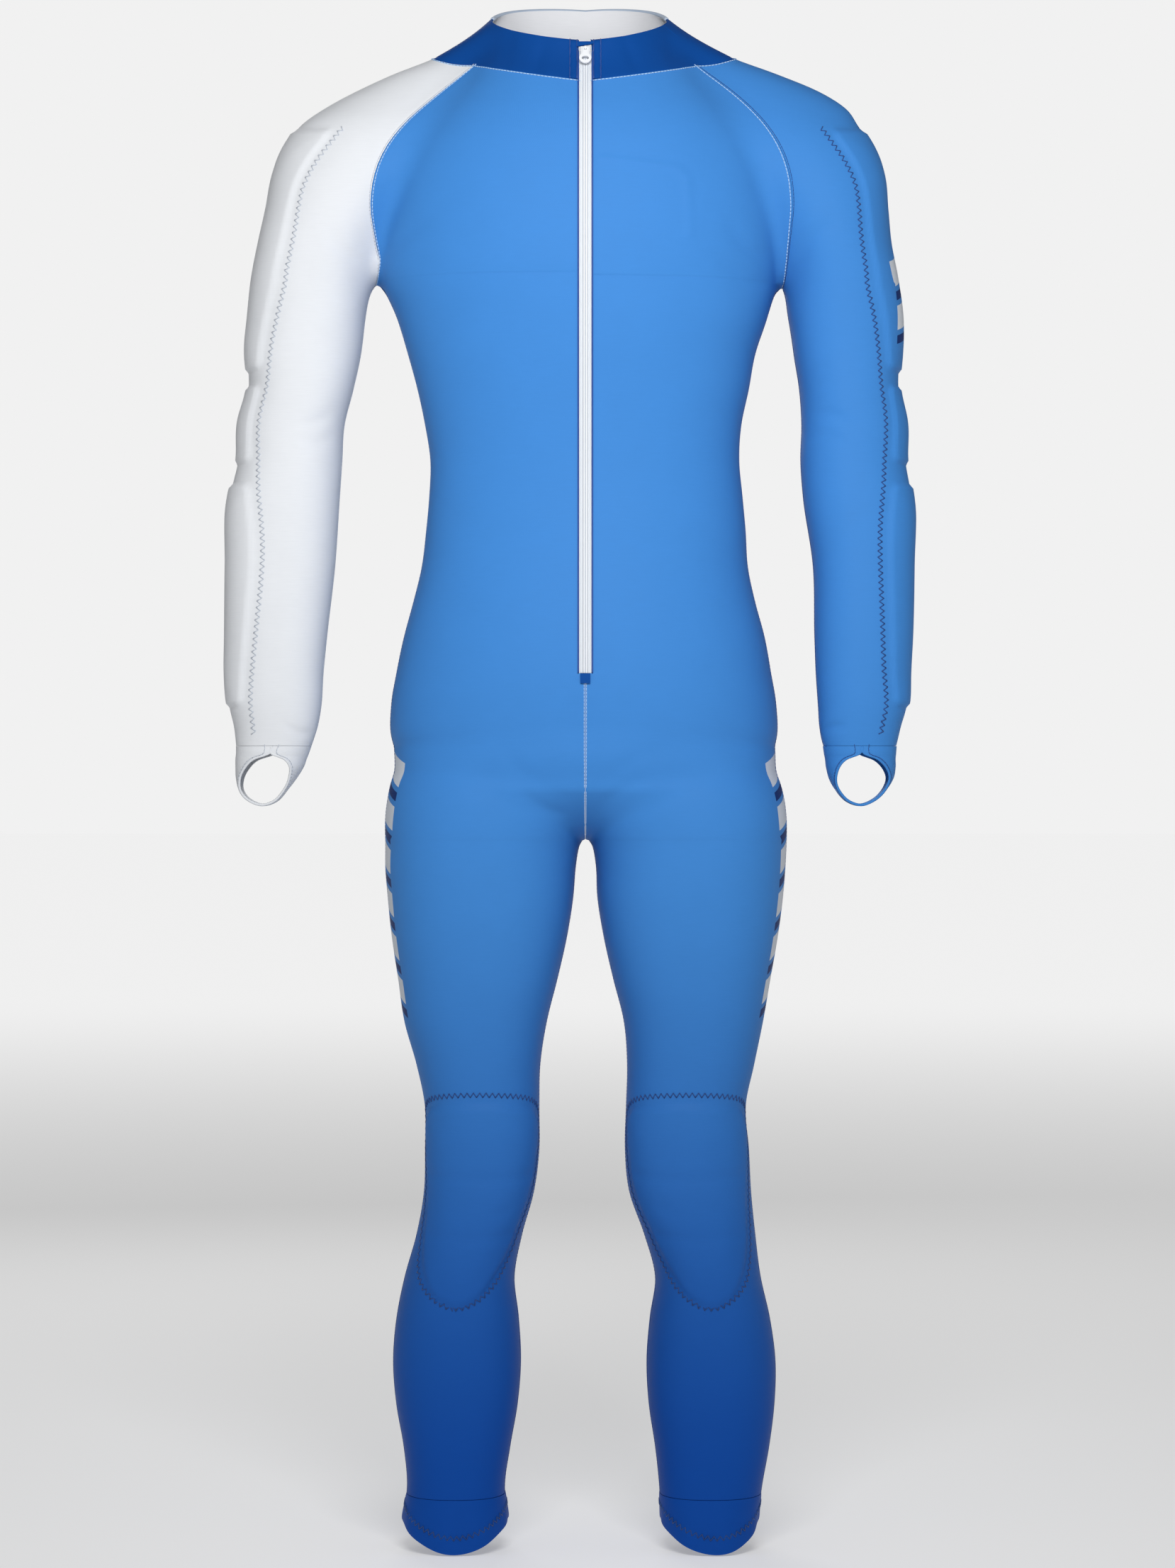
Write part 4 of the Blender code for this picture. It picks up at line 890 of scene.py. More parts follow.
def node_in(tree, kind, inputs=(), **settings):
    node = tree.nodes.new(kind)
    for key, value in settings.items():
        setattr(node, key, value)
    for socket, value in dict(inputs).items():
        linked(tree, node, socket, value)
    return node


def stitch_tree():
    tree = bpy.data.node_groups.new("stitches", "GeometryNodeTree")
    sockets = tree.interface
    sockets.new_socket("Geometry", in_out="INPUT", socket_type="NodeSocketGeometry")
    for name in ("Spacing", "Length", "Radius", "Turn", "Lift"):
        sockets.new_socket(name, in_out="INPUT", socket_type="NodeSocketFloat")
    sockets.new_socket("Material", in_out="INPUT", socket_type="NodeSocketMaterial")
    sockets.new_socket("Geometry", in_out="OUTPUT", socket_type="NodeSocketGeometry")
    given = tree.nodes.new("NodeGroupInput").outputs
    curve = node_in(tree, "GeometryNodeMeshToCurve", {"Mesh": given["Geometry"]})
    even = node_in(tree, "GeometryNodeResampleCurve", {"Curve": curve.outputs[0]}, mode="LENGTH")
    linked(tree, even, "Length", given["Spacing"])
    thread = node_in(
        tree, "GeometryNodeMeshCylinder",
        {"Vertices": 6, "Radius": given["Radius"], "Depth": given["Length"]}, fill_type="TRIANGLE_FAN",
    )
    lain = node_in(
        tree, "GeometryNodeTransform",
        {"Geometry": thread.outputs["Mesh"], "Rotation": (0, math.pi / 2, 0)},
    )
    tangent = tree.nodes.new("GeometryNodeInputTangent")
    out = node_in(tree, "GeometryNodeInputNamedAttribute", {"Name": "out"}, data_type="FLOAT_VECTOR")
    axes = node_in(tree, "FunctionNodeAxesToRotation", primary_axis="X", secondary_axis="Z")
    tree.links.new(tangent.outputs[0], axes.inputs[0])
    tree.links.new(out.outputs["Attribute"], axes.inputs[1])
    placed = node_in(
        tree, "GeometryNodeInstanceOnPoints",
        {"Points": even.outputs[0], "Instance": lain.outputs[0], "Rotation": axes.outputs[0]},
    )
    index = tree.nodes.new("GeometryNodeInputIndex")
    parity = node_in(tree, "ShaderNodeMath", {0: index.outputs[0], 1: 2.0}, operation="MODULO")
    swing = node_in(
        tree, "ShaderNodeMath", {0: parity.outputs[0], 1: 2.0, 2: -1.0}, operation="MULTIPLY_ADD"
    )
    turn = node_in(tree, "ShaderNodeMath", {0: swing.outputs[0], 1: given["Turn"]}, operation="MULTIPLY")
    angle = node_in(tree, "ShaderNodeCombineXYZ", {"Z": turn.outputs[0]})
    rotation = node_in(tree, "FunctionNodeEulerToRotation", {0: angle.outputs[0]})
    turned = node_in(
        tree, "GeometryNodeRotateInstances",
        {"Instances": placed.outputs[0], "Rotation": rotation.outputs[0], "Local Space": True},
    )
    height = node_in(tree, "ShaderNodeCombineXYZ", {"Z": given["Lift"]})
    moved = node_in(
        tree, "GeometryNodeTranslateInstances",
        {"Instances": turned.outputs[0], "Translation": height.outputs[0], "Local Space": True},
    )
    real = node_in(tree, "GeometryNodeRealizeInstances", {0: moved.outputs[0]})
    dressed = node_in(
        tree, "GeometryNodeSetMaterial", {"Geometry": real.outputs[0], "Material": given["Material"]}
    )
    result = tree.nodes.new("NodeGroupOutput")
    tree.links.new(dressed.outputs[0], result.inputs[0])
    return tree


def stitches(name, line, outward, material, spacing, length, radius, turn=0.0, lift=0.0, closed=False):
    """Threads along a line: straight ones in a row, or a zigzag where turn isn't 0."""
    count = len(line)
    edges = [(i, i + 1) for i in range(count - 1)] + ([(count - 1, 0)] if closed else [])
    mesh = bpy.data.meshes.new(name)
    mesh.from_pydata((line - (0, 0, ORIGIN_HEIGHT)).tolist(), edges, [])
    out = mesh.attributes.new("out", "FLOAT_VECTOR", "POINT")
    out.data.foreach_set("vector", np.asarray(outward, np.float32).ravel())
    obj = bpy.data.objects.new(name, mesh)
    bpy.context.scene.collection.objects.link(obj)
    modifier = obj.modifiers.new("stitches", "NODES")
    modifier.node_group = STITCHES
    values = {
        "Spacing": spacing,
        "Length": length,
        "Radius": radius,
        "Turn": turn,
        "Lift": lift,
        "Material": material,
    }
    for item in STITCHES.interface.items_tree:
        if item.in_out == "INPUT" and item.name in values:
            modifier[item.identifier] = values[item.name]
    graph = bpy.context.evaluated_depsgraph_get()
    made = bpy.data.meshes.new_from_object(obj.evaluated_get(graph))
    obj.modifiers.remove(modifier)
    obj.data = made
    made.name = name
    made.shade_smooth()
    return obj


STITCHES = stitch_tree()


# Materials

PALE_BAR, DARK_BAR = (0.62, 0.66, 0.72, 1), (0.006, 0.03, 0.15, 1)
BAR_STEP, BAR_HEIGHT = 40, 22  # mm, pale bars with dark ones between them


def ladder(top, count, half_width, slant):
    """Slanted bars one above the other: foot, top, half width, slant and colour of each."""
    bars = []
    for i in range(count):
        for drop, height, colour in ((0, BAR_HEIGHT, PALE_BAR), (BAR_HEIGHT + 5, 8, DARK_BAR)):
            head = top - i * BAR_STEP - drop
            bars.append((head - height, head, half_width, slant, colour))
    return bars


THIGH_PRINT, ARM_PRINT = ladder(748, 6, 40, 12), ladder(1208, 2, 36, 10)


def maths(tree, operation, *values, clamp=False):
    node = node_in(tree, "ShaderNodeMath", dict(enumerate(values)), operation=operation, use_clamp=clamp)
    return node.outputs[0]


def mixed(tree, factor, first, second):
    node = node_in(tree, "ShaderNodeMix", {0: factor, 6: first, 7: second}, data_type="RGBA")
    return node.outputs[2]


def group_input(tree, name, kind, default):
    socket = tree.interface.new_socket(name, in_out="INPUT", socket_type=kind)
    socket.default_value = default


def stretch_group():
    """The cloth's own looks: a fine knit and soft mottling."""
    tree = bpy.data.node_groups.new("stretch cloth", "ShaderNodeTree")
    group_input(tree, "Colour", "NodeSocketColor", (0.1, 0.1, 0.5, 1))
    group_input(tree, "Mottle", "NodeSocketFloat", 0.06)
    group_input(tree, "Knit size", "NodeSocketFloat", 0.9 * MM)
    group_input(tree, "Knit depth", "NodeSocketFloat", 0.05 * MM)
    tree.interface.new_socket("Colour", in_out="OUTPUT", socket_type="NodeSocketColor")
    tree.interface.new_socket("Roughness shift", in_out="OUTPUT", socket_type="NodeSocketFloat")
    tree.interface.new_socket("Normal", in_out="OUTPUT", socket_type="NodeSocketVector")
    given = tree.nodes.new("NodeGroupInput").outputs
    place = tree.nodes.new("ShaderNodeTexCoord").outputs
    clouds = node_in(
        tree,
        "ShaderNodeTexNoise",
        {"Vector": place["Object"], "Scale": 26.0, "Detail": 3.0, "Roughness": 0.6},
    ).outputs["Fac"]
    mapping = node_in(tree, "ShaderNodeMapping", {"Vector": place["UV"], "Scale": (60.0, 900.0, 1.0)})
    drawn = mapping.outputs[0]
    streaks = node_in(
        tree, "ShaderNodeTexNoise", {"Vector": drawn, "Scale": 1.0, "Detail": 2.0, "Roughness": 0.5}
    ).outputs["Fac"]
    spread = maths(tree, "SUBTRACT", maths(tree, "ADD", clouds, streaks), 1.0)
    scaled = maths(tree, "MULTIPLY", spread, given["Mottle"])
    light = maths(tree, "ADD", scaled, 1.0)
    toned = node_in(tree, "ShaderNodeHueSaturation", {"Color": given["Colour"], "Value": light}).outputs[0]
    apart = node_in(tree, "ShaderNodeSeparateXYZ", {"Vector": place["UV"]}).outputs
    turns = maths(tree, "DIVIDE", 2 * math.pi, given["Knit size"])
    wales = maths(tree, "SINE", maths(tree, "MULTIPLY", apart["X"], turns))
    courses = maths(tree, "SINE", maths(tree, "MULTIPLY", apart["Y"], turns))
    knit = maths(tree, "MULTIPLY", wales, courses)
    bump = node_in(
        tree, "ShaderNodeBump", {"Strength": 0.5, "Distance": given["Knit depth"], "Height": knit}
    ).outputs[0]
    result = tree.nodes.new("NodeGroupOutput")
    tree.links.new(toned, result.inputs["Colour"])
    tree.links.new(maths(tree, "MULTIPLY", spread, 0.12), result.inputs["Roughness shift"])
    tree.links.new(bump, result.inputs["Normal"])
    return tree


def bar_group():
    """How far inside a slanted bar a place of the cut is, in metres."""
    tree = bpy.data.node_groups.new("slanted bar", "ShaderNodeTree")
    for name in ("Foot", "Top", "Half width", "Slant"):
        group_input(tree, name, "NodeSocketFloat", 0.0)
    tree.interface.new_socket("Inside", in_out="OUTPUT", socket_type="NodeSocketFloat")
    given = tree.nodes.new("NodeGroupInput").outputs
    cut = tree.nodes.new("ShaderNodeTexCoord").outputs["UV"]
    apart = node_in(tree, "ShaderNodeSeparateXYZ", {"Vector": cut}).outputs
    middle = maths(tree, "MULTIPLY", maths(tree, "ADD", given["Foot"], given["Top"]), 0.5)
    half = maths(tree, "MULTIPLY", maths(tree, "SUBTRACT", given["Top"], given["Foot"]), 0.5)
    ratio = maths(tree, "DIVIDE", given["Slant"], given["Half width"])
    leaning = maths(tree, "MULTIPLY_ADD", apart["X"], ratio, middle)
    from_middle = maths(tree, "ABSOLUTE", maths(tree, "SUBTRACT", apart["Y"], leaning))
    within = maths(tree, "SUBTRACT", half, from_middle)
    beside = maths(tree, "SUBTRACT", given["Half width"], maths(tree, "ABSOLUTE", apart["X"]))
    result = tree.nodes.new("NodeGroupOutput")
    tree.links.new(maths(tree, "MINIMUM", within, beside), result.inputs["Inside"])
    return tree


STRETCH, BAR = stretch_group(), bar_group()
GLOSS = 0.05


def cloth(name, colour, roughness, bars=(), painted_shade=None):
    """A stretch cloth. It may carry painted shade, darker toward the hems where less light reaches the legs,
    and have bars round the side seam.
    """
    material = bpy.data.materials.new(name)
    material.use_nodes = True
    tree = material.node_tree
    shader = tree.nodes["Principled BSDF"]
    looks = node_in(tree, "ShaderNodeGroup", {}, node_tree=STRETCH)
    base = (*colour, 1)
    # Painted shade: the blue darkens toward the hems in place of the light falling off down the legs
    if painted_shade:
        place = tree.nodes.new("ShaderNodeTexCoord").outputs["Object"]
        height = node_in(tree, "ShaderNodeSeparateXYZ", {"Vector": place}).outputs["Z"]
        low, high = PAINTED_SHADE_FROM
        ramp = node_in(
            tree, "ShaderNodeMapRange", {"Value": height, "From Min": high, "From Max": low},
            interpolation_type="SMOOTHSTEP",
        )
        base = mixed(tree, ramp.outputs["Result"], base, (*painted_shade, 1))
    if bars:
        for foot, top, half_width, slant, ink in bars:
            sizes = {"Foot": foot * MM, "Top": top * MM, "Half width": half_width * MM, "Slant": slant * MM}
            inside = node_in(tree, "ShaderNodeGroup", {}, node_tree=BAR)
            for key, value in sizes.items():
                linked(tree, inside, key, value)
            base = mixed(tree, maths(tree, "GREATER_THAN", inside.outputs[0], 0.0), base, ink)
    linked(tree, looks, "Colour", base)
    tree.links.new(looks.outputs["Colour"], shader.inputs["Base Color"])
    shift = maths(tree, "ADD", looks.outputs["Roughness shift"], roughness)
    tree.links.new(shift, shader.inputs["Roughness"])
    tree.links.new(looks.outputs["Normal"], shader.inputs["Normal"])
    shader.inputs["Specular IOR Level"].default_value = GLOSS
    material.diffuse_color = (*colour, 1)
    return material


def plain(name, colour, roughness, sheen=0.0):
    material = bpy.data.materials.new(name)
    material.use_nodes = True
    shader = material.node_tree.nodes["Principled BSDF"]
    shader.inputs["Base Color"].default_value = (*colour, 1)
    shader.inputs["Roughness"].default_value = roughness
    shader.inputs["Sheen Weight"].default_value = sheen
    material.diffuse_color = (*colour, 1)
    return material


# The second colour on the next line is painted shade for the light falling off down the legs; the line after
# holds the heights over which the blue turns to it
BLUE_INK, HEM_PAINTED_SHADE = (0.05, 0.222, 0.585), (0.005, 0.068, 0.36)
PAINTED_SHADE_FROM = (-1.32, -0.7)
BLUE = cloth("blue stretch", BLUE_INK, 0.5, painted_shade=HEM_PAINTED_SHADE)
BLUE_LEGS = cloth("blue stretch, side print", BLUE_INK, 0.5, bars=THIGH_PRINT, painted_shade=HEM_PAINTED_SHADE)
BLUE_ARM = cloth("blue stretch, arm print", BLUE_INK, 0.5, bars=ARM_PRINT)
WHITE = cloth("white stretch", (0.7, 0.72, 0.75), 0.55)
DEEP = cloth("deep blue stretch", (0.004, 0.062, 0.285), 0.55)
LINING_WHITE = cloth("white lining", (0.8, 0.81, 0.84), 0.75)
ZIP_WHITE = plain("zip tape", (0.8, 0.83, 0.86), 0.6, 0.1)
ZIP_LINE = plain("zip coil", (0.42, 0.47, 0.54), 0.45)


def lined(material, colour, spacing, width):
    """Fine lines of another colour along the cloth, spaced evenly from its middle. On the zip's coil cover
    they are painted shade in its grooves.
    """
    tree = material.node_tree
    shader = tree.nodes["Principled BSDF"]
    cut = tree.nodes.new("ShaderNodeTexCoord").outputs["UV"]
    across = node_in(tree, "ShaderNodeSeparateXYZ", {"Vector": cut}).outputs["X"]
    wave = maths(tree, "COSINE", maths(tree, "MULTIPLY", across, 2 * math.pi / spacing))
    line = maths(tree, "GREATER_THAN", wave, math.cos(math.pi * width / spacing))
    own = tuple(shader.inputs["Base Color"].default_value)
    tree.links.new(mixed(tree, line, own, (*colour, 1)), shader.inputs["Base Color"])


COIL_COVER = plain("zip coil cover", (0.76, 0.79, 0.83), 0.55)
# Painted shade: dark lines along the coil cover's grooves, between its ridges
lined(COIL_COVER, (0.2, 0.25, 0.33), 2.1 * MM, 0.45 * MM)
lined(ZIP_WHITE, (0.42, 0.47, 0.54), 1.05 * MM, 0.3 * MM)
SLIDER_WHITE = plain("slider lacquer", (0.78, 0.8, 0.83), 0.32)
PALE_THREAD = plain("pale thread", (0.36, 0.55, 0.8), 0.6, 0.1)
BLUE_THREAD = plain("blue thread", (0.005, 0.05, 0.22), 0.6, 0.1)
WHITE_THREAD = plain("white thread", (0.5, 0.54, 0.6), 0.6, 0.1)
BINDING = plain("collar binding", (0.4, 0.48, 0.6), 0.6, 0.15)
PIPING = plain("piping", (0.01, 0.06, 0.28), 0.5, 0.1)


# The suit's panels

LEG_LEVELS = filled(LEG_LEVELS, ROW_STEP) + tuple(h * MM for h in (653, 657, 660))
CROTCH_RISES = filled(tuple(h * MM for h in (0, 3, 9, 18, 32, 54, 84)), ROW_STEP)
TORSO_LEVELS = filled(tuple(h * MM for h in (754, 790, 816)), ROW_STEP) + filled(
    tuple(h * MM for h in (818.5, 822, 1172)), ROW_STEP
)
SLEEVE_LEVELS = filled(SLEEVE_LEVELS, SLEEVE_STEP)
RAGLAN_STEPS = filled(RAGLAN_STEPS, RAGLAN_FINER)

POCKET = ((14, 1285), (84, 1277), (93, 1268), (95, 1216))  # the raised edge of an inner chest pocket
POCKET_RISE, POCKET_WIDTH = 1.0 * MM, 3.0 * MM


def pocket_relief(panel):
    flat = panel.points[..., [0, 2]]
    near = np.full(flat.shape[:2], 1.0)
    for start, end in zip(POCKET, POCKET[1:]):
        start, end = np.array(start) * MM, np.array(end) * MM
        way = end - start
        t = np.clip(((flat - start) @ way) / (way @ way), 0, 1)
        near = np.minimum(near, np.linalg.norm(flat - start - way * t[..., None], axis=-1))
    return POCKET_RISE * np.exp(-((near / POCKET_WIDTH) ** 2)) * (panel.normals[..., 1] < 0)


def cut_map(panel, from_last):
    """A map of the cut: metres from the side seam or the sleeve's middle line, and the height."""
    along = panel.shares[None, :] * panel.lengths[:, None]
    middle = panel.lengths[:, None] * (1.0 if from_last else 0.5)
    return np.stack([along - middle, panel.points[..., 2]], axis=-1)


def declared(obj, panel):
    """States the panel's own cut, measured on the form before the creases."""
    quads = panel.points
    a, b = quads[1:, 1:] - quads[:-1, :-1], quads[1:, :-1] - quads[:-1, 1:]
    area = float(np.linalg.norm(np.cross(a, b), axis=-1).sum() / 2)
    middle = panel.points[:, panel.points.shape[1] // 2]
    width, length = float(panel.lengths.max()), length_of(middle)
    share = min(max(area / (width * length), 0.31), 1.0)
    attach(obj, "suit")
    CUTS[obj.name] = width, length, share * width * length, obj


CUTS, ON_CLOTH = {}, {}


def goes_with(cloth_obj, obj):
    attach(obj, "suit")
    ON_CLOTH.setdefault(cloth_obj.name, []).append(obj)
    return obj


PANELS, SHELLS = {}, {}
for side, sign in SIDES.items():
    for name, toward in (("front", -1), ("back", 1)):
        grid = Panel(columns_at(half_panel(side, toward), HALF_FINER), HALF_FINER)
        relief = creased(grid) + seam_sink(grid)
        if name == "front":
            relief = relief + knee_relief(grid)
            if side == "left":
                relief = relief + pocket_relief(grid)
        grid.raised(relief)
        PANELS[name, side] = grid
    grid = Panel(columns_at(sleeve_panel(side), SLEEVE_FINER), SLEEVE_FINER)
    grid.raised(creased(grid) + seam_sink(grid) + arm_relief(grid))
    PANELS["sleeve", side] = grid

for (name, side), grid in PANELS.items():
    whole = seam_trims(grid.points)
    outer = trimmed(grid.outer, grid.normals, whole)
    white = (name, side) == ("sleeve", "right")
    arm_blue = BLUE_ARM if name == "sleeve" else BLUE_LEGS
    inner = outer - grid.normals * CLOTH_SHELL
    uv = cut_map(grid, name != "sleeve")
    obj = shell(f"{name}_{side}_cloth", outer, inner, WHITE if white else arm_blue, uv)
    nodes = [f"{name}_{side}"]
    if name == "front":
        nodes.append(f"knee_pad_{side}")
    if name == "sleeve":
        nodes += [f"{pad_name}_{side}" for pad_name in ARM_PADS]
    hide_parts(*nodes)
    declared(obj, grid)
    SHELLS[name, side] = obj


# Collar, hem bands and hand loops

COLLAR_LINES = 17
RIB_NEAR, RIB_FAR, RIB_RISE = 7.5 * MM, 14 * MM, 1.5 * MM  # the raised strips beside the zip
BINDING_WIDTH = 4.6 * MM
LINING_BEHIND = 0.075  # how much further up the lining reaches behind the neck


def collar_base():
    """The neckline from the left of the zip round to its right."""
    halves = []
    for side in SIDES:
        front, sleeve, back = (PANELS[name, side].points[-1] for name in ("front", "sleeve", "back"))
        halves.append(np.concatenate([front[:-1], sleeve[:-1], back[::-1]]))
    right, left = halves
    return np.concatenate([left, right[::-1][1:]])


def collar_surface(base):
    rim = []
    for x, y, _ in base:
        angle = math.atan2(abs(x) / BASE_HALF_WIDTH, (BASE_MIDDLE_Y - y) / BASE_HALF_DEPTH)
        rim.append(rim_point(angle, -1 if x < 0 else 1))
    rim = np.array(rim)
    share = np.linspace(0, 1, COLLAR_LINES)[:, None, None]
    hollow = np.sin(math.pi * share) * COLLAR_HOLLOW
    toward_middle = -base * (1, 1, 0) / np.linalg.norm(base * (1, 1, 0), axis=-1, keepdims=True)
    points = base * (1 - share) + rim * share + hollow * toward_middle
    normals = grid_normals(points, np.array([0.0, 1.0, 0.0]))
    normals[0] = normals_at(base)
    return points, normals


def collar_relief(points):
    """A rounded rim, a dip at the base seam, raised strips beside the zip and a few slack folds."""
    share = np.linspace(0, 1, len(points))[:, None]
    away = np.abs(points[..., 0])
    front = points[..., 1] < -20 * MM
    rib = smoothly(RIB_NEAR - 1 * MM, RIB_NEAR, away) * (1 - smoothly(RIB_FAR - 1 * MM, RIB_FAR, away))
    out = RIB_RISE * rib * front * (1 - smoothly(0.93, 1.0, share))
    out = out - SEAM_SINK * np.exp(-((share / 0.03) ** 2)) - 0.5 * MM * smoothly(0.94, 1.0, share)
    for x, low, high, lean, depth in COLLAR_FOLDS:
        centre = x * MM + lean * MM * share
        across = np.exp(-(((points[..., 0] - centre) / (6 * MM)) ** 2))
        out = out - depth * MM * across * np.exp(-(((share - (low + high) / 2) / (high - low)) ** 2)) * front
    return out


COLLAR_FOLDS = (  # x, lowest and highest share of the collar's height, lean, depth
    (-46, 0.1, 0.6, 10, 1.1), (-74, 0.2, 0.9, 6, 0.8), (48, 0.15, 0.7, -12, 1.2), (82, 0.1, 0.6, -6, 0.9),
)

base = collar_base()
collar_points, collar_normals = collar_surface(base)
relief = collar_relief(collar_points)
outer = collar_points + collar_normals * relief[..., None]
outer = trimmed(outer, collar_normals, seam_trims(collar_points))
steps = np.linalg.norm(np.diff(collar_points, axis=1), axis=-1)
along = np.concatenate([np.zeros((len(steps), 1)), np.cumsum(steps, axis=1)], axis=1)
uv = np.stack([along, collar_points[..., 2]], axis=-1)
collar = shell("collar_cloth", outer, outer - collar_normals * CLOTH, DEEP, uv)
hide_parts("collar")
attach(collar, "suit")
collar_length = float(steps.sum(axis=1).max())
collar_height = length_of(collar_points[:, collar_points.shape[1] // 2])
a, b = collar_points[1:, 1:] - collar_points[:-1, :-1], collar_points[1:, :-1] - collar_points[:-1, 1:]
collar_area = float(np.linalg.norm(np.cross(a, b), axis=-1).sum() / 2)
CUTS[collar.name] = collar_length, collar_height, collar_area, collar

inside = collar_points[:, 3:-3] - collar_normals[:, 3:-3] * (CLOTH + LINING_GAP)
reach = LINING_SHARE + LINING_BEHIND * smoothly(-30 * MM, 30 * MM, inside[:1, :, 1:2])
inside = inside[0] + (inside - inside[0]) * reach + (inside[1] - inside[0]) * LINING_LIFT
lining_uv = uv[:, 3:-3]
thin = inside - collar_normals[:, 3:-3] * LINING
lining = shell("collar_lining_cloth", thin, inside, LINING_WHITE, lining_uv)
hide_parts("collar_lining")
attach(lining, "suit")
CUTS[lining.name] = collar_length * 0.97, collar_height * 0.9, collar_area * 0.8, lining

rim_line, rim_out = outer[-1], collar_normals[-1]
behind = rim_line[:, 1] > 8 * MM
back_rim = rim_line[behind] - rim_out[behind] * (CLOTH / 2)
upward = np.tile((0.0, 0.0, 1.0), (len(back_rim), 1))
binding = tube("collar_binding", back_rim, upward, BINDING_WIDTH / 2, BINDING, 10, flat=0.8)
goes_with(collar, binding)

for side, sign in SIDES.items():
    for name, edge in (("near", RIB_NEAR), ("far", RIB_FAR)):
        line, out = [], []
        for row_points, row_outer, row_normals in zip(collar_points, outer, collar_normals):
            front = row_points[:, 1] < -20 * MM
            column = np.argmin(np.abs(row_points[:, 0] - sign * edge) + 1.0 * ~front)
            line.append(row_outer[column] * (0, 1, 1) + (sign * edge, 0, 0))
            out.append(row_normals[column])
        goes_with(collar, tube(f"collar_rib_{name}_{side}", np.array(line), np.array(out), 0.6 * MM, PIPING))


HEM_LINES = 15
HEM_SHARE = 0.75  # of its length and depth that a band's curved cut fills
BAND_TOP = 58 * MM


def ring_cast(side, line, level_of):
    sign = SIDES[side]
    middle_x = float(HALF_CENTRE.at("x", 58 * MM))
    angle = np.arctan2(line[:, 1], sign * line[:, 0] - middle_x)
    level = level_of(angle)
    toward = sign * np.cos(angle), np.sin(angle)
    return cast(sign * middle_x, 0.0, level, *toward, 100 * MM)


def foot_level(angle):
    return HEM_SIDE_FOOT - HEM_FRONT_DIP * np.maximum(0.0, -np.sin(angle)) ** 2


BANDS = {}
for side in SIDES:
    front, back = PANELS["front", side].points[0], PANELS["back", side].points[0]
    top = np.concatenate([front[:-1], back[::-1][:-1]])
    rows = []
    for share in np.linspace(0, 1, HEM_LINES):
        rows.append(
            ring_cast(
                side, top, lambda a, s=share: BAND_TOP - SEAM_GAP + (foot_level(a) - BAND_TOP) * s
            )
        )
    rows = np.array(rows)
    normals = normals_at(rows)
    share = np.linspace(0, 1, HEM_LINES)[:, None]
    wave = 0.5 * MM * np.sin(9 * np.arctan2(rows[..., 1], np.abs(rows[..., 0]) - 120 * MM) + 1.3) * share
    swell = HEM_PROUD + wave - 0.3 * MM * smoothly(0.9, 1, share) - 0.4 * MM * (1 - smoothly(0, 0.12, share))
    outer = rows + normals * swell[..., None]
    around = np.linspace(0, 0.29, rows.shape[1])[None] + 0 * rows[..., 0]
    uv = np.stack([around, rows[..., 2]], axis=-1)
    obj = shell(f"hem_band_{side}_cloth", outer, outer - normals * HEM_THICKNESS, BLUE, uv, ring=True)
    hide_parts(f"hem_band_{side}")
    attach(obj, "suit")
    ring_length = length_of(rows[0]) + float(np.linalg.norm(rows[0, 0] - rows[0, -1]))
    deepest = float(np.abs(rows[0, :, 2] - rows[-1, :, 2]).max())
    CUTS[obj.name] = ring_length, deepest, HEM_SHARE * ring_length * deepest, obj
    BANDS[side] = obj, rows, normals, outer


def loop_surface(side):
    sign = SIDES[side]
    front, back = float(ARMS.at("front", CUFF_END)), float(ARMS.at("back", CUFF_END))
    inner_x, outer_x = (float(ARMS.at(f"{side}_{edge}", CUFF_END)) for edge in ("inner", "outer"))
    half_depth, half_width = (back - front) / 2, (outer_x - inner_x) / 2
    rows = []
    for right_x, left_x, height, half_angle, curl in LOOP_ROWS:
        x = (right_x if side == "right" else left_x) * MM
        angle = np.radians(np.linspace(-half_angle, half_angle, 25))
        own_x = x - curl * half_width * (1 - np.abs(np.cos(angle)) ** LOOP_SQUARE)
        own_y = (front + back) / 2 + half_depth * np.sign(angle) * np.abs(np.sin(angle)) ** LOOP_SQUARE
        rows.append(np.stack([sign * own_x, own_y, np.full(25, height * MM)], axis=-1))
    rows = np.array(rows)
    finer = np.linspace(0, len(rows) - 1, 6 * (len(rows) - 1) + 1)
    return np.swapaxes(columns_at(np.swapaxes(rows, 0, 1), finer), 0, 1)


LOOPS = {}
for side in SIDES:
    points = loop_surface(side)
    normals = grid_normals(points, np.array([0.0, 0.0, -1.0]))
    outer = trimmed(points, normals, seam_trims(points))
    white = side == "right"
    steps = np.linalg.norm(np.diff(points, axis=0), axis=-1)
    along = np.concatenate([np.zeros((1, points.shape[1])), np.cumsum(steps, axis=0)])
    uv = np.stack([points[..., 1], along], axis=-1)
    obj = shell(f"hand_loop_{side}_cloth", outer, outer - normals * CLOTH, WHITE if white else BLUE, uv)
    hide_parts(f"hand_loop_{side}")
    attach(obj, "suit")
    width = max(length_of(line) for line in points)
    length = length_of(points[:, 12])
    quads = points
    a, b = quads[1:, 1:] - quads[:-1, :-1], quads[1:, :-1] - quads[:-1, 1:]
    area = float(np.linalg.norm(np.cross(a, b), axis=-1).sum() / 2)
    CUTS[obj.name] = width, length, min(max(area / (width * length), 0.31), 1.0) * width * length, obj
    LOOPS[side] = obj, outer, normals


# Zip

ZIP_ROWS = 240
ZIP_FOOT = 817.8 * MM
GROOVES = 3  # fine grooves along each tape


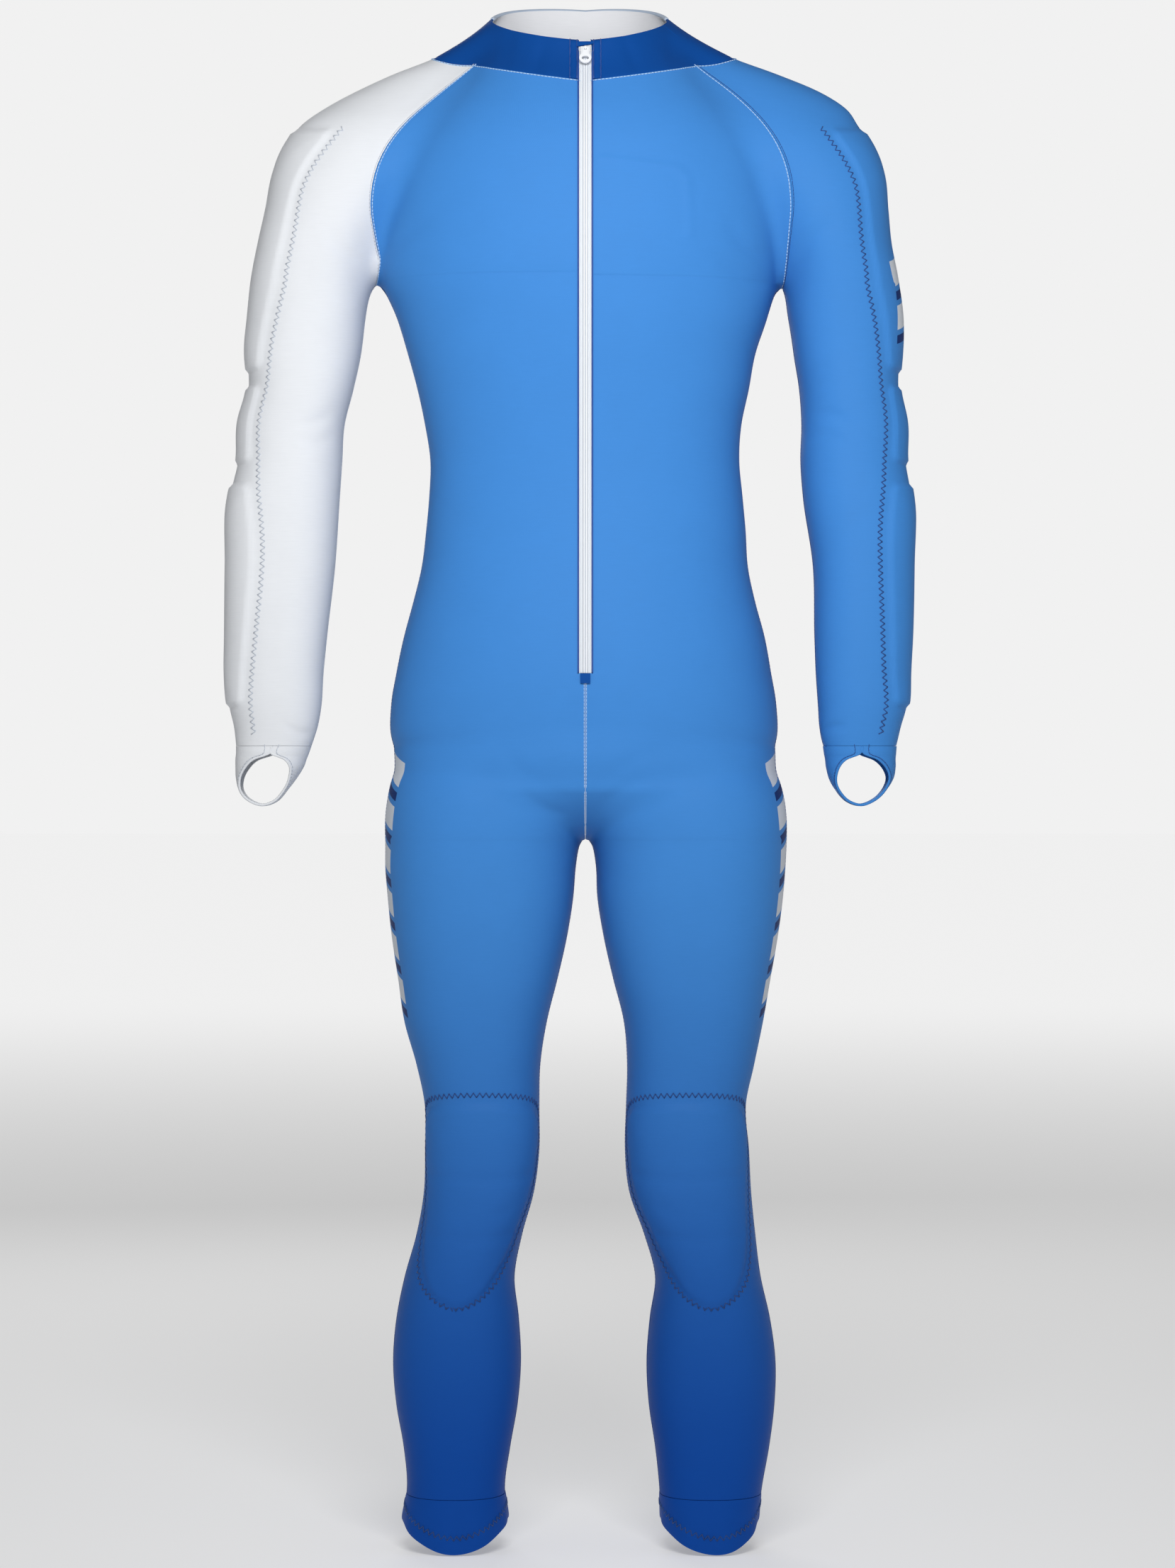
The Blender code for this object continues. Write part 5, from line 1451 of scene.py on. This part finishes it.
def dense(line, outward, count):
    along = np.concatenate([[0], np.cumsum(np.linalg.norm(np.diff(line, axis=0), axis=1))])
    slope = np.gradient(line, along, axis=0)
    places = np.linspace(0, along[-1], count)
    low = np.clip(np.searchsorted(along, places, side="right") - 1, 0, len(along) - 2)
    step = (along[low + 1] - along[low])[:, None]
    t = ((places - along[low]) / step[:, 0])[:, None]
    finer = hermite(line[low], line[low + 1], slope[low] * step, slope[low + 1] * step, t)
    out = np.stack([np.interp(places, along, outward[:, i]) for i in range(3)], axis=-1)
    return finer, out / np.linalg.norm(out, axis=-1, keepdims=True)


def zip_centre():
    line = [face_point(0.0, height, -1) for height in (ZIP_FOOT, *ZIP_LEVELS[1:])]
    foot = (collar_points[0, 0] + collar_points[0, -1]) / 2
    top = (collar_points[-1, 0] + collar_points[-1, -1]) / 2
    foot[0] = top[0] = 0.0
    share = (HINGE_HEIGHT - foot[2]) / (top[2] - foot[2])
    line = np.array(line + [foot + (top - foot) * part * share for part in COLLAR_ZIP_SHARES])
    along = np.gradient(line, axis=0)
    outward = np.stack([np.zeros(len(line)), -along[:, 2], along[:, 1]], axis=-1)
    return dense(line, outward / np.linalg.norm(outward, axis=-1, keepdims=True), ZIP_ROWS)


def strip(name, line, outward, x_values, lifts, thickness, material):
    across = np.stack([x_values, 0 * x_values, 0 * x_values], axis=-1)
    grid = line[:, None] + across[None]
    outer = grid + outward[:, None] * lifts[None, :, None]
    inner = grid - outward[:, None] * thickness
    distance = np.concatenate([[0], np.cumsum(np.linalg.norm(np.diff(line, axis=0), axis=1))])
    uv = np.stack(np.broadcast_arrays(x_values[None, :], distance[:, None]), axis=-1)
    return shell(name, outer, inner, material, uv), float(distance[-1])


centre, centre_out = zip_centre()
for side, sign in SIDES.items():
    x_values = sign * np.linspace(COIL_HALF + 0.1 * MM, ZIP_HALF - 0.1 * MM, 19)
    turns = np.linspace(0, GROOVES * 2 * math.pi, 19)
    lifts = 0.25 * MM * np.cos(turns) - 0.1 * MM
    tape, length = strip(f"zip_tape_{side}_cloth", centre, centre_out, x_values, lifts, TAPE, ZIP_WHITE)
    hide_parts(f"zip_tape_{side}")
    goes_with(SHELLS["front", side], tape)
x_values = np.linspace(-COIL_HALF, COIL_HALF, 17)
ridge = np.abs(np.sin(x_values / COIL_HALF * math.pi))
coil, length = strip(
    "zip_coil_cover", centre, centre_out, x_values, 0.1 * MM + 0.6 * MM * ridge, 0.2 * MM, COIL_COVER
)
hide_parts("zip_coil")
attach(coil, "suit")
for side, sign in SIDES.items():
    line = centre + np.array([sign * (ZIP_HALF + 0.35 * MM), 0, 0]) + centre_out * 0.35 * MM
    goes_with(SHELLS["front", side], tube(f"zip_piping_{side}", line, centre_out, 0.75 * MM, PIPING))
teeth_line = centre[4:-2] - centre_out[4:-2] * 0.9 * MM
teeth = stitches(
    "zip_teeth", teeth_line, centre_out[4:-2], ZIP_LINE, 1.3 * MM, 3.9 * MM, 0.42 * MM, math.radians(86)
)
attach(teeth, "suit")


# Stitching

THREAD, THREAD_LENGTH, THREAD_SPACING, THREAD_LIFT = 0.42 * MM, 3.0 * MM, 3.4 * MM, 0.12 * MM
ZIGZAG_SPACING, ZIGZAG_LENGTH, ZIGZAG_TURN = 2.9 * MM, 5.4 * MM, math.radians(57)
ZIGZAG_THREAD = 0.5 * MM


def smoothed(line, rounds=2):
    for _ in range(rounds):
        line = np.concatenate([line[:1], (line[:-2] + 2 * line[1:-1] + line[2:]) / 4, line[-1:]])
    return line


def seam(name, grid, column, cloth_obj, material, inset=1.6 * MM, from_row=0, to_row=None, radius=THREAD):
    """A row of straight stitches beside one of a panel's long edges. Column 0 is its first, -1 its last."""
    rows = range(from_row, to_row or len(grid.levels))
    line, out = [], []
    for j in rows:
        share = min(inset / grid.lengths[j], 0.4)
        point, normal = grid.near(share if column == 0 else 1 - share, j, THREAD_LIFT)
        line.append(point)
        out.append(normal)
    obj = stitches(
        name, smoothed(np.array(line)), np.array(out), material, THREAD_SPACING, THREAD_LENGTH, radius
    )
    return goes_with(cloth_obj, obj)


def zigzag(name, line, outward, material, cloth_obj, closed=False):
    obj = stitches(
        name, line, outward, material, ZIGZAG_SPACING, ZIGZAG_LENGTH, ZIGZAG_THREAD, ZIGZAG_TURN,
        THREAD_LIFT, closed,
    )
    return goes_with(cloth_obj, obj)


def row_of(grid, height):
    return int(np.argmin(np.abs(grid.levels - height)))


for side in SIDES:
    white = side == "right"
    front, back, sleeve = (PANELS[name, side] for name in ("front", "back", "sleeve"))
    front_obj, back_obj, sleeve_obj = (SHELLS[name, side] for name in ("front", "back", "sleeve"))
    leg_top = len(LEG_LEVELS) * ROWS_BETWEEN
    raglan_foot = leg_top + (len(CROTCH_RISES) + len(TORSO_LEVELS)) * ROWS_BETWEEN
    zip_foot = row_of(front, 815 * MM)
    seam(f"raglan_front_{side}", front, -1, front_obj, PALE_THREAD, from_row=raglan_foot, radius=0.5 * MM)
    seam(f"raglan_back_{side}", back, -1, back_obj, BLUE_THREAD, from_row=raglan_foot)
    own = WHITE_THREAD if white else BLUE_THREAD
    seam(f"sleeve_front_{side}", sleeve, 0, sleeve_obj, own, from_row=0, radius=0.3 * MM)
    seam(f"sleeve_back_{side}", sleeve, -1, sleeve_obj, own, from_row=0, radius=0.3 * MM)
    seam(f"side_front_{side}", front, -1, front_obj, BLUE_THREAD, to_row=raglan_foot)
    seam(f"side_back_{side}", back, -1, back_obj, BLUE_THREAD, to_row=raglan_foot)
    seam(f"inside_leg_{side}", front, 0, front_obj, BLUE_THREAD, to_row=leg_top)
    foot = leg_top + 4
    seam(f"centre_front_{side}", front, 0, front_obj, PALE_THREAD, 1.1 * MM, foot, zip_foot, 0.34 * MM)
    seam(f"centre_back_{side}", back, 0, back_obj, BLUE_THREAD, from_row=foot)


def knee_outline(grid, beyond):
    """Places (share, height) round the knee pad, further out than its edge."""
    top, bottom = KNEE_TOP + beyond, KNEE_BOTTOM - beyond * 0.8
    right = []
    for height in np.linspace(bottom, KNEE_TOP - 6 * MM, 34):
        j = row_of(grid, height)
        half = float(KNEE.at("half_share", max(height, 234 * MM))) / MM
        soft = math.sqrt(min(1.0, (height - bottom) / (26 * MM)))
        right.append((0.5 + (half + beyond / grid.lengths[j]) * soft, height))
    wide = right[-1][0] - 0.5
    arch = []
    for s in np.linspace(0.96, -0.96, 26):
        drop = KNEE_DROP * s * s + 10 * MM * abs(s) ** 8
        arch.append((0.5 + wide * s, top - drop))
    left = [(1 - share, height) for share, height in right[::-1]]
    return right[1:] + arch + left[:-1]


for side in SIDES:
    grid = PANELS["front", side]
    places = np.array(knee_outline(grid, 8 * MM))
    for _ in range(4):
        places = (np.roll(places, 1, axis=0) + 2 * places + np.roll(places, -1, axis=0)) / 4
    between = np.stack([places, (places + np.roll(places, -1, axis=0)) / 2], axis=1)
    line, out = line_on(grid, between.reshape(-1, 2))
    zigzag(f"knee_zigzag_{side}", line, out, BLUE_THREAD, SHELLS["front", side], closed=True)
    grid = PANELS["sleeve", side]
    thread = WHITE_THREAD if side == "right" else BLUE_THREAD
    top = 1325 * MM
    for name, edge, shift in (("front", "front_share", -0.022), ("back", "back_share", 0.022)):
        places = [
            (float(ARM.at(edge, height)) / MM + shift, height)
            for height in np.linspace(764 * MM, top, 150)
        ]
        line, out = line_on(grid, places)
        zigzag(f"arm_zigzag_{name}_{side}", smoothed(line, 3), out, thread, SHELLS["sleeve", side])
    obj, rows, normals, outer = BANDS[side]
    arc = ring_cast(side, rows[0], lambda a: foot_level(a) + 15 * MM)
    arc_out = normals_at(arc)
    zigzag(f"hem_zigzag_{side}", arc + arc_out * 0.7 * MM, arc_out, BLUE_THREAD, obj, closed=True)
    obj, outer, normals = LOOPS[side]
    for name, column in (("front", 1), ("back", -2)):
        line, out = outer[:, column], normals[:, column]
        made = stitches(
            f"loop_stitch_{name}_{side}", line + out * THREAD_LIFT, out, thread,
            THREAD_SPACING, THREAD_LENGTH, 0.34 * MM,
        )
        goes_with(obj, made)
        edge = outer[:, 0 if column == 1 else -1] - out * CLOTH / 2
        bound = tube(f"loop_edge_{name}_{side}", edge, out, 1.2 * MM, WHITE if side == "right" else BLUE)
        goes_with(obj, bound)

base_line = collar_points[0] + collar_normals[0] * 0.4 * MM
down = np.gradient(base_line, axis=0)
down = down / np.linalg.norm(down, axis=1, keepdims=True)
below = base_line + np.cross(collar_normals[0], down) * 1.4 * MM
if below[:, 2].mean() > base_line[:, 2].mean():
    below = 2 * base_line - below
collar_stitch = stitches(
    "collar_stitch", smoothed(below), collar_normals[0], PALE_THREAD, THREAD_SPACING,
    THREAD_LENGTH, 0.5 * MM,
)
goes_with(collar, collar_stitch)

HARD = {
    "zip_slider": SLIDER_WHITE,
    "zip_pull": SLIDER_WHITE,
    "zip_garage": DEEP,
    "zip_stop": DEEP,
}
SOFT_EDGE = 0.35 * MM
for name, material in HARD.items():
    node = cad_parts[name]
    node.data.materials.clear()
    node.data.materials.append(material)
    bevel = node.modifiers.new("soft edges", "BEVEL")
    bevel.width = SOFT_EDGE
    bevel.segments = 3
    bevel.limit_method = "ANGLE"


# Floor, light and camera

FLOOR = -1.3585
FLOOR_HALF = 60.0
NEAR_GLOW, FAR_GLOW, GLOW_FROM, GLOW_TO = 0.32, 0.7, 0.8, 11.0
SKY_LIGHT, SKY_SEEN = 0.22, 0.88
EYE = Vector((0.002, -4.2, -0.648))
LENS = 103.6


def area_light(name, place, target, size, power, spread=180):
    lamp = bpy.data.lights.new(name, "AREA")
    lamp.spread = math.radians(spread)
    lamp.shape = "RECTANGLE"
    lamp.size, lamp.size_y = size
    lamp.energy = power
    obj = bpy.data.objects.new(name, lamp)
    obj.location = place
    obj.rotation_euler = (Vector(target) - Vector(place)).to_track_quat("-Z", "Y").to_euler()
    bpy.context.scene.collection.objects.link(obj)
    return obj


def floor_material():
    """A pale floor that turns as pale as the sky further out."""
    material = plain("floor", (0.74, 0.74, 0.74), 0.9)
    tree = material.node_tree
    place = tree.nodes.new("ShaderNodeTexCoord").outputs["Object"]
    distance = node_in(tree, "ShaderNodeVectorMath", {0: place}, operation="LENGTH").outputs["Value"]
    sizes = {"From Min": GLOW_FROM, "From Max": GLOW_TO, "To Min": NEAR_GLOW, "To Max": FAR_GLOW}
    ramp = node_in(
        tree, "ShaderNodeMapRange", {"Value": distance, **sizes}, interpolation_type="SMOOTHSTEP"
    )
    shader = tree.nodes["Principled BSDF"]
    shader.inputs["Emission Color"].default_value = (1, 1, 1, 1)
    tree.links.new(ramp.outputs["Result"], shader.inputs["Emission Strength"])
    return material


def world_light():
    """A dim sky that looks pale where the camera sees it."""
    world = bpy.data.worlds.new("studio")
    world.use_nodes = True
    tree = world.node_tree
    sky = tree.nodes["Background"]
    seen = tree.nodes.new("ShaderNodeLightPath").outputs["Is Camera Ray"]
    ramp = node_in(tree, "ShaderNodeMapRange", {"Value": seen, "To Min": SKY_LIGHT, "To Max": SKY_SEEN})
    sky.inputs["Color"].default_value = (1, 1, 1, 1)
    tree.links.new(ramp.outputs["Result"], sky.inputs["Strength"])
    bpy.context.scene.world = world


def stage_set():
    mesh = bpy.data.meshes.new("floor")
    corners = ((-1, -1), (1, -1), (1, 1), (-1, 1))
    mesh.from_pydata([(x * FLOOR_HALF, y * FLOOR_HALF, FLOOR) for x, y in corners], [], [(0, 1, 2, 3)])
    mesh.materials.append(floor_material())
    floor = bpy.data.objects.new("floor", mesh)
    bpy.context.scene.collection.objects.link(floor)
    world_light()
    area_light("key", (0.05, -1.6, 0.3), (0, 0, -0.45), (0.8, 0.6), 8.9, spread=105)
    area_light("front fill", (0.2, -3.4, -0.1), (0, 0, -0.3), (1.0, 1.0), 2.2)
    area_light("back", (-0.4, 2.6, 0.6), (0, 0, -0.5), (1.4, 1.4), 14)
    data = bpy.data.cameras.new("camera")
    data.lens = LENS
    data.sensor_fit = "VERTICAL"
    data.sensor_height = 36
    camera = bpy.data.objects.new("camera", data)
    camera.location = EYE
    camera.rotation_euler = (math.pi / 2, 0, 0)
    bpy.context.scene.collection.objects.link(camera)
    bpy.context.scene.camera = camera
    bpy.context.scene.view_settings.view_transform = "Standard"


stage_set()
